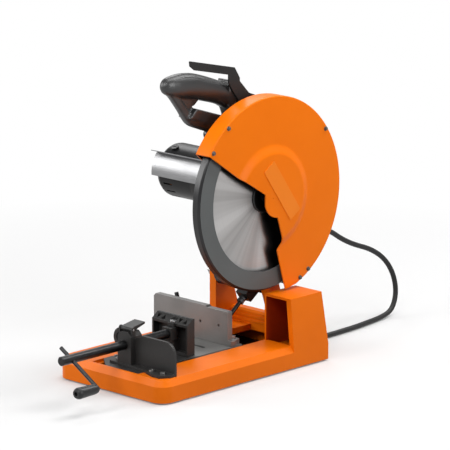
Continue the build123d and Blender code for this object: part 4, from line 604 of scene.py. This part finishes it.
# one item set on every point, each turned a little about the axis
itemGroup = bpy.data.node_groups.new("itemsOnPoints", "GeometryNodeTree")
for label, kind in (("Points", "Geometry"), ("Item", "Object"), ("Axis", "Vector"), ("Most Turn", "Float"),
                    ("Seed", "Int"), ("Finish", "Material")):
    itemGroup.interface.new_socket(label, in_out="INPUT", socket_type="NodeSocket" + kind)
itemGroup.interface.new_socket("Geometry", in_out="OUTPUT", socket_type="NodeSocketGeometry")
entry, info, angles, spin, placed, solid, painted, leaving = (itemGroup.nodes.new(kind) for kind in (
    "NodeGroupInput", "GeometryNodeObjectInfo", "FunctionNodeRandomValue", "FunctionNodeAxisAngleToRotation",
    "GeometryNodeInstanceOnPoints", "GeometryNodeRealizeInstances", "GeometryNodeSetMaterial",
    "NodeGroupOutput"))
angles.data_type = "FLOAT"
for outSocket, inSocket in (
        (entry.outputs["Item"], info.inputs["Object"]),
        (entry.outputs["Most Turn"], angles.inputs[3]),
        (entry.outputs["Seed"], angles.inputs["Seed"]),
        (entry.outputs["Axis"], spin.inputs["Axis"]),
        (angles.outputs[1], spin.inputs["Angle"]),
        (entry.outputs["Points"], placed.inputs["Points"]),
        (info.outputs["Geometry"], placed.inputs["Instance"]),
        (spin.outputs["Rotation"], placed.inputs["Rotation"]),
        (placed.outputs["Instances"], solid.inputs["Geometry"]),
        (solid.outputs["Geometry"], painted.inputs["Geometry"]),
        (entry.outputs["Finish"], painted.inputs["Material"]),
        (painted.outputs["Geometry"], leaving.inputs["Geometry"])):
    itemGroup.links.new(outSocket, inSocket)


def repeated(name, item, places, finishName, mostTurn):
    spots = bpy.data.meshes.new(name + "Spots")
    spots.from_pydata(places, [], [])
    holder = newObject(name + "Work", spots)
    single = newObject(name + "Item", item)
    repeat = holder.modifiers.new("repeat", "NODES")
    repeat.node_group = itemGroup
    values = {"Item": single, "Axis": (1, 0, 0), "Most Turn": mostTurn, "Seed": 5,
              "Finish": finishes[finishName]}
    for socket in itemGroup.interface.items_tree:
        if socket.in_out == "INPUT" and socket.name in values:
            repeat[socket.identifier] = values[socket.name]
    mesh = bake(holder, name)
    bpy.data.objects.remove(holder)
    bpy.data.objects.remove(single)
    return mesh


axisGap = 0.0002  # the hair's breadth that a turned shape leaves open at its axis


def hexHead(name, plan):
    # a chamfered hexagon on a thin washer, its foot at the origin and its top towards X
    # the chamfers are shares of the washer's and the nut's own sizes
    low, wide = plan["washerHigh"], plan["washerRadius"]
    washer = lathe(name + "Washer", [(0, axisGap), (0, wide), (low * 0.7, wide), (low, wide - low * 0.3),
                                     (low, axisGap)], steps=28)
    spread, top = plan["acrossCorners"] / 2, low + plan["high"]
    corners = [(spread * math.cos(math.pi * k / 3), spread * math.sin(math.pi * k / 3)) for k in range(6)]
    foot, girth = low - 0.0001, spread * 1.02
    dome = lathe(name + "Dome", [(foot, axisGap), (foot, girth), (low + plan["high"] * 0.72, girth),
                                 (top, spread * 0.84), (top, axisGap)], steps=36)
    return joinMeshes(name, [washer, cutMesh(name + "Nut", prism(name + "Hex", corners, low, top), [dome])])


def crossHead(name, plan, facing):
    # a low domed head with a cross recess, its top towards X where facing is 1
    radius, high, rim = plan["radius"], plan["high"], plan["rimShare"]
    dome = [(0, axisGap), (0, radius), (high * rim, radius)]
    dome += [(high * (rim + (1 - rim) * math.sin(a)), radius * math.cos(a) * 0.98 + axisGap)
             for a in (0.25, 0.5, 0.8, 1.1, 1.35)] + [(high, axisGap)]
    head = lathe(name + "Dome", [(x * facing, r) for x, r in dome], steps=32)
    arm, thin = radius * plan["recessReach"], radius * plan["recessHalf"]
    depths = sorted((high * plan["recessFloor"] * facing, high * 2 * facing))
    slots = [prism(name + "Slot", [(-a, -b), (a, -b), (a, b), (-a, b)], *depths)
             for a, b in ((arm, thin), (thin, arm))]
    return cutMesh(name, head, slots, "DIFFERENCE")


# upper guard and cover, with the outlines of their cuts in mm
guardPlan = {"radius": 0.1994, "sheet": 0.0025, "back": 0.044, "face": 0.082, "rimRound": 0.0025,
             "dishRise": 0.008, "dishInner": 0.084, "dishOuter": 0.107, "dishSteps": 14, "hubHole": 0.02915,
             "bossCentre": (143.5, 330), "bossRadius": 37, "bossAngles": range(14, 90, 6),
             "coverAbove": [(-41, 442), (45.5, 382), (107.5, 343.5)],
             "coverBelow": [(142.2, 293.02), (159.5, 239), (149, 225), (167.6, 158.6)],
             "shellOpen": [(-41, 442), (60, 352), (99, 291), (149, 281), (158, 225)],
             "keptSide": [(173, 143), (213, 150.5), (233, 100), (400, 100), (400, 600), (-120, 600),
                          (-120, 470)],
             "coverDepths": (0.06, 0.11), "shellDepths": (0.03, 0.11), "steps": 240}
face, back, rimR, sheet = (guardPlan[key] for key in ("face", "back", "radius", "sheet"))
bossX, bossZ = guardPlan["bossCentre"]
bossArc = [(bossX - guardPlan["bossRadius"] * math.cos(math.radians(a)),
            bossZ - guardPlan["bossRadius"] * math.sin(math.radians(a))) for a in guardPlan["bossAngles"]]
coverCut = mm(guardPlan["coverAbove"] + bossArc + guardPlan["coverBelow"] + guardPlan["keptSide"])
shellCut = mm(guardPlan["shellOpen"] + guardPlan["keptSide"])


def dishHeight(r):
    slope = guardPlan["dishOuter"] - guardPlan["dishInner"]
    t = min(1.0, max(0.0, (guardPlan["dishOuter"] - r) / slope))
    return guardPlan["dishRise"] * t * t * (3 - 2 * t)


def rimEdge(flat, facing, angles):
    # the rounded edge between a flat side and the rim
    soft = guardPlan["rimRound"]
    return [(flat + facing * (soft * math.sin(math.radians(a)) - soft),
             rimR - soft + soft * math.cos(math.radians(a))) for a in angles]


dishRadii = [guardPlan["dishInner"] + (guardPlan["dishOuter"] - guardPlan["dishInner"]) * k
             / guardPlan["dishSteps"] for k in range(guardPlan["dishSteps"] + 1)]
faceRadii = [0.001] + dishRadii + [rimR - guardPlan["rimRound"]]
coverEdge = rimEdge(face, 1, (80, 60, 40, 20, 0))
coverOutline = ([(face + dishHeight(r), r) for r in faceRadii] + coverEdge + [(face - sheet, rimR)]
                + [(face - sheet + dishHeight(r), r) for r in reversed(faceRadii)])
firstInner = len(faceRadii) + len(coverEdge) + 1
coverLathe = lathe("guardCoverSkin", coverOutline, arbor, steps=guardPlan["steps"],
                   inner=range(firstInner, len(coverOutline) - 1))
coverTool = prism("coverCutTool", coverCut, *guardPlan["coverDepths"])
coverMesh = cutMesh("guardCoverSkin", coverLathe, [coverTool])
dressMesh(coverMesh, ["orangePaint", "paintedGuardShade"])
meshPiece("guardCoverSkin", coverMesh, "head", ["guard_cover"])

shellOutside = ([(face - sheet, rimR)] + rimEdge(back, -1, (0, 20, 40, 60, 80))
                + [(back, rimR - guardPlan["rimRound"]), (back, guardPlan["hubHole"])])
shellInside = [(back + sheet, guardPlan["hubHole"]), (back + sheet, rimR - sheet),
               (face - sheet, rimR - sheet)]
firstInner = len(shellOutside)
shellLathe = lathe("upperGuardSkin", shellOutside + shellInside, arbor, steps=guardPlan["steps"],
                   inner=(firstInner, firstInner + 1))
shellTool = prism("shellCutTool", shellCut, *guardPlan["shellDepths"])
shellMesh = cutMesh("upperGuardSkin", shellLathe, [shellTool])
dressMesh(shellMesh, ["orangePaint", "paintedGuardShade"])
meshPiece("upperGuardSkin", shellMesh, "head", ["upper_guard"])

coverScrewPlan = {"circle": 0.1933, "angles": (127, 144.5, 36, -56, -64), "lift": 0.0001,
                  "acrossCorners": 0.0072, "high": 0.0024, "washerRadius": 0.0046, "washerHigh": 0.0009,
                  "mostTurn": 1.0}
coverScrewSpots = [(face + coverScrewPlan["lift"],
                    arbor[0] + coverScrewPlan["circle"] * math.cos(math.radians(a)),
                    arbor[1] + coverScrewPlan["circle"] * math.sin(math.radians(a)))
                   for a in coverScrewPlan["angles"]]
coverScrewMesh = repeated("coverScrewHeads", hexHead("coverScrewHead", coverScrewPlan), coverScrewSpots,
                          "darkZinc", coverScrewPlan["mostTurn"])
dressMesh(coverScrewMesh, ["darkZinc"])
meshPiece("coverScrewHeads", coverScrewMesh, "head", ["cover_screws"])
print("guards made")

# lower guard: a rim with a bevelled outer edge, a plate behind it and a hub
ringPlan = {"outer": 0.186, "bore": 0.1469, "left": 0.053, "right": 0.071, "start": 141.0, "end": 291.0,
            "bevel": 0.004, "plate": 0.0022, "rimWall": 0.0025, "backWall": 0.002, "edgeBreak": 0.001,
            "hub": 0.039, "hubBore": 0.02905, "hubLap": 0.004, "steps": 130}
outer, bore, left, right = (ringPlan[key] for key in ("outer", "bore", "left", "right"))
bevel, plate, hub = ringPlan["bevel"], ringPlan["plate"], ringPlan["hub"]
backWall, underRim = left + ringPlan["backWall"], outer - ringPlan["rimWall"]
ringOutline = [(right, bore), (right, outer - bevel), (right - bevel * 0.75, outer - bevel * 0.2),
               (right - bevel * 1.1, outer), (left + ringPlan["edgeBreak"], outer),
               (left, outer - ringPlan["edgeBreak"]), (left, hub - ringPlan["hubLap"]),
               (backWall, hub - ringPlan["hubLap"]), (backWall, underRim),
               (right - plate, underRim - bevel * 0.6), (right - plate, bore)]
ringMesh = lathe("lowerGuardRing", ringOutline, arbor, ringPlan["start"], ringPlan["end"], ringPlan["steps"],
                 inner=range(1, len(ringOutline) - 1))
hubOutline = [(left, ringPlan["hubBore"]), (left, hub), (backWall, hub), (backWall, ringPlan["hubBore"])]
hubMesh = lathe("lowerGuardHub", hubOutline, arbor, steps=64, inner=range(len(hubOutline)))
guardRing = joinMeshes("lowerGuardSkin", [ringMesh, hubMesh])
dressMesh(guardRing, ["guardGrey", "guardRim"], sharpAngle=28)
meshPiece("lowerGuardSkin", guardRing, "lower_guard", ["lower_guard"])
print("lower guard made")

# handle, in mm: two rounded bars and four flat shapes, each with its half width, melted into one skin
gripPlan = {"spine": [(-84.5, 572), (-82, 571.5), (-76, 570.5), (-66, 569), (-52, 567.5), (-36, 566),
                      (-8, 562), (28, 551.5), (66, 538.5), (92, 525)],
            "sizes": [(2, 3), (8, 9), (12.5, 15), (16, 19), (18.5, 22), (19.5, 24), (20, 24.5), (20, 24),
                      (19, 22.5), (18, 21)],
            "strap": [(-72, 566), (-55.3, 548.6), (-33, 521), (-17, 502), (-4, 495), (24, 486), (60, 474),
                      (88, 464)],
            "strapSizes": [(10.5, 9), (10, 8), (10, 8), (12, 9.5), (15, 13), (17, 15), (17, 16), (17, 16)],
            "gripSquare": 2.2, "strapSquare": 2.8, "voxel": 1.2, "smoothing": 26,
            "flats": {"lowerBar": (17.2, [(-7, 519.5), (58.3, 498), (92, 487), (92, 463), (24, 484),
                                          (-25, 502)]),
                      "handleWeb": (6, [(-66, 562), (-14, 548), (-6, 530), (-8, 517), (-26, 500),
                                        (-36, 512)]),
                      "handleMount": (15.5, [(84, 561), (98, 556.5), (118, 544), (128, 534), (137, 505),
                                             (139.5, 420), (48, 431.5), (40, 460), (60, 482), (92, 489),
                                             (80, 517), (76, 540)]),
                      "handleCollar": (18.2, [(86, 562.5), (103, 557.5), (98, 512), (80, 508)])}}
gripBar = sweep("gripBar", mm(gripPlan["spine"]), mm(gripPlan["sizes"]), gripPlan["gripSquare"])
frontStrap = sweep("frontStrap", mm(gripPlan["strap"]), mm(gripPlan["strapSizes"]), gripPlan["strapSquare"])
handleShapes = [gripBar, frontStrap]
for flatName, (half, outline) in gripPlan["flats"].items():
    handleShapes.append(prism(flatName, mm(outline), -half / 1000, half / 1000))
handleMesh = moulded("handleSkin", handleShapes, gripPlan["voxel"] / 1000, gripPlan["smoothing"])
dressMesh(handleMesh, ["gripPlastic"], sharpAngle=60)
meshPiece("handleSkin", handleMesh, "head", ["handle_right", "handle_left"])

triggerPlan = {"outline": [(60, 549), (50, 550), (10, 541), (-14, 545), (-24, 538), (-20, 524), (-13, 521.5),
                           (-2, 523.5), (9, 532), (24, 537), (46, 540), (61, 542)],
               "half": 5.2, "voxel": 0.8, "smoothing": 4}
triggerBlade = prism("triggerBlade", mm(triggerPlan["outline"]), -triggerPlan["half"] / 1000,
                     triggerPlan["half"] / 1000)
triggerMesh = moulded("triggerSkin", [triggerBlade], triggerPlan["voxel"] / 1000, triggerPlan["smoothing"])
dressMesh(triggerMesh, ["blackPlastic"], sharpAngle=60)
meshPiece("triggerSkin", triggerMesh, "trigger", ["trigger"])

# the handle's screws show a head on the left and an end on the right
handleScrewPlan = {"places": [(-62, 562), (78, 548), (118, 520), (62, 452), (118, 440), (10, 485)],
                   "left": -0.0148, "right": 0.0112, "radius": 0.0036, "high": 0.0022, "rimShare": 0.45,
                   "recessReach": 0.62, "recessHalf": 0.14, "recessFloor": 0.35, "mostTurn": 1.5}
screwRows = [repeated(rowName + "s", crossHead(rowName, handleScrewPlan, facing),
                      [(handleScrewPlan[side], y, z) for y, z in mm(handleScrewPlan["places"])],
                      "zincPlate", handleScrewPlan["mostTurn"])
             for rowName, side, facing in (("handleScrewHead", "left", -1), ("handleScrewEnd", "right", 1))]
handleScrews = joinMeshes("handleScrews", screwRows)
dressMesh(handleScrews, ["zincPlate"])
meshPiece("handleScrews", handleScrews, "head", ["handle_screws"])
print("handle made")

# softened copies of machined and cast solids: solid, width of the rounding in mm, finish
softened = {"baseSkin": ("base_frame", 1.6, "baseOrange"), "bedSkin": ("bed_plate", 0.6, "bedSteel"),
            "fenceSkin": ("fence", 1.2, "greyCasting"), "bracketSkin": ("vise_bracket", 0.9, "darkPlate"),
            "jawSkin": ("vise_jaw", 0.7, "darkPlate"), "carrierSkin": ("jaw_carrier", 0.8, "darkPlate"),
            "releaseSkin": ("release_housing", 0.8, "darkPlate"),
            "flapSkin": ("release_flap", 0.6, "blackPaint"), "caseSkin": ("gear_case", 1.4, "blackPaint"),
            "leverSkin": ("guard_lever", 0.6, "leverPaint"),
            "leverBracketSkin": ("lever_bracket", 0.7, "blackPaint"),
            "plateSkin": ("name_plate", 0.5, "plateOrange"),
            "capSkin": ("motor_end_cap", 1.2, "motorPlastic"),
            "motorSkin": ("motor_housing", 0.5, "motorPlastic"),
            "knobSkin": ("crank_knob", 1.0, "blackPlastic"),
            "plugSkin": ("power_plug", 0.8, "rubberBlack"),
            "lockLeverSkin": ("fence_lock_lever", 0.5, "darkSteel"),
            "spindleSkin": ("vise_spindle", 0.8, "darkSteel"),
            "shieldSkin": ("chip_shield", 0.35, "polishedSheet"),
            "flangeSkin": ("outer_flange", 0.7, "darkSteel"), "rodSkin": ("crank_rod", 0.5, "darkSteel"),
            "buttonSkin": ("lock_off_button", 0.6, "redPlastic"),
            "coverBossSkin": ("gear_cover", 0.8, "castAluminium")}
for pieceName, (source, width, finishName) in softened.items():
    roundedCopy(pieceName, source, width / 1000, finishName)
    print("softened", source)

# painted shade: the faces inside the tower's hollow take a darker orange
hollow = next(gap["box_m"] for gap in record["physics"]["openings"] if gap["name"] == "tower_cavity")
hollowMargin = 0.006
hollowCentre = (Vector(hollow[0]) + Vector(hollow[1])) / 2
baseMesh = bpy.data.objects["baseSkin"].data
baseMesh.materials.append(finishes["paintedHollowShade"])
for hollowFace in baseMesh.polygons:
    within = all(low - hollowMargin < spot < high + hollowMargin
                 for low, spot, high in zip(hollow[0], hollowFace.center, hollow[1]))
    if within and (hollowCentre - hollowFace.center).dot(hollowFace.normal) > 0:
        hollowFace.material_index = 1

# strain relief, a cone of soft rubber with grooves so that it bends
reliefPlan = {"foot": (0.012, 0.1966, 0.3148), "line": (0, 0.82, -0.572), "length": 0.039, "thick": 0.0105,
              "thin": 0.00705, "footRound": 0.0006, "tipRound": 0.0005, "grooves": 6, "firstGroove": 0.0062,
              "pitch": 0.0051, "width": 0.0026, "depth": 0.0014,
              "grooveShape": ((0, 0), (0.25, 0.8), (0.5, 1), (0.75, 0.8), (1, 0))}
reliefLong, thick, thin = (reliefPlan[key] for key in ("length", "thick", "thin"))
reliefOutline = [(0, axisGap), (0, thick - reliefPlan["footRound"]), (reliefPlan["footRound"], thick)]
for k in range(reliefPlan["grooves"]):
    for along, sunk in reliefPlan["grooveShape"]:
        x = reliefPlan["firstGroove"] + k * reliefPlan["pitch"] + along * reliefPlan["width"]
        reliefOutline.append((x, thick + (thin - thick) * x / reliefLong - sunk * reliefPlan["depth"]))
reliefOutline += [(reliefLong - reliefPlan["footRound"], thin), (reliefLong, thin - reliefPlan["tipRound"]),
                  (reliefLong, axisGap)]
reliefMesh = lathe("reliefSkin", reliefOutline, steps=72)
leaning = Vector(reliefPlan["line"]).normalized().to_track_quat("X", "Z").to_matrix().to_4x4()
reliefMesh.transform(Matrix.Translation(reliefPlan["foot"]) @ leaning)
dressMesh(reliefMesh, ["rubberBlack"], sharpAngle=50)
meshPiece("reliefSkin", reliefMesh, bodyOf["strain_relief"], ["strain_relief"])
print("strain relief made")

# power cord: it hangs behind the saw, comes down to the floor and lies in a coil
cordPlan = {"radius": 0.00525, "length": 2.25,
            "bendLow": (0.0, 0.512, 0.151), "bendHigh": (0.0, 0.403, 0.376),
            "hanging": [(0.012, 0.22883, 0.29232), (0.011, 0.279, 0.2562), (0.006, 0.336, 0.230),
                        (0.002, 0.388, 0.210), (0.0, 0.424, 0.187), (0.0, 0.461, 0.169), (0.0, 0.512, 0.151),
                        (0.0, 0.555, 0.124), (0.001, 0.583, 0.086), (0.003, 0.590, 0.044),
                        (0.008, 0.571, 0.012), (0.014, 0.530, 0.0055), (0.022, 0.480, 0.0059),
                        (0.029, 0.430, 0.0057)],
            "coilCentre": (-0.030, 0.312), "coilRadius": 0.06265, "coilHeight": 0.0055, "turns": 4.25,
            "pointsPerTurn": 16, "crossing": 0.5, "inwardAt": 0.75, "upAt": 1.75, "outwardAt": 2.75,
            "toPlug": [(-0.024, -0.0624, 0.0158), (-0.054, -0.0624, 0.0154)]}
cordR = cordPlan["radius"]
coilX, coilY = cordPlan["coilCentre"]


def crossed(turned, start):
    # 0 before the cord crosses to the next lay of the coil, 1 after it
    return min(1.0, max(0.0, (turned - start) / cordPlan["crossing"]))


# two turns side by side on the floor, two more on top of them
cordPoints = list(cordPlan["hanging"])
for step in range(int(cordPlan["turns"] * cordPlan["pointsPerTurn"]) + 1):
    turned = step / cordPlan["pointsPerTurn"]
    inward = 2 * cordR * (crossed(turned, cordPlan["inwardAt"]) - crossed(turned, cordPlan["outwardAt"]))
    lift = 2 * cordR * crossed(turned, cordPlan["upAt"])
    around = cordPlan["coilRadius"] - inward
    angle = -2 * math.pi * turned
    cordPoints.append((coilX + around * math.cos(angle), coilY + around * math.sin(angle),
                       cordPlan["coilHeight"] + lift))
cordPoints += [(coilX + x, coilY + y, z) for x, y, z in cordPlan["toPlug"]]

routeCurve = bpy.data.curves.new("cordRoute", "CURVE")
routeCurve.dimensions = "3D"
routeCurve.resolution_u = 8
spline = routeCurve.splines.new("NURBS")
spline.points.add(len(cordPoints) - 1)
for point, spot in zip(spline.points, cordPoints):
    point.co = (*spot, 1)
spline.order_u = 3
spline.use_endpoint_u = True
route = newObject("cordRoute", routeCurve)
cordLine = [vertex.co.copy() for vertex in bake(route, "cordLine").vertices]
routeCurve.bevel_depth = cordR
routeCurve.bevel_resolution = 5
routeCurve.use_fill_caps = True
cordMesh = bake(route, "powerCord")
bpy.data.objects.remove(route)
dressMesh(cordMesh, ["cordRubber"], sharpAngle=60)
cordPiece = newObject("powerCord", cordMesh)
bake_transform(cordPiece)
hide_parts("power_cord", "cord_coil")
cordLong = sum((after - before).length for before, after in zip(cordLine, cordLine[1:]))
print("cord laid,", len(cordPoints), "points, length", round(cordLong, 4))
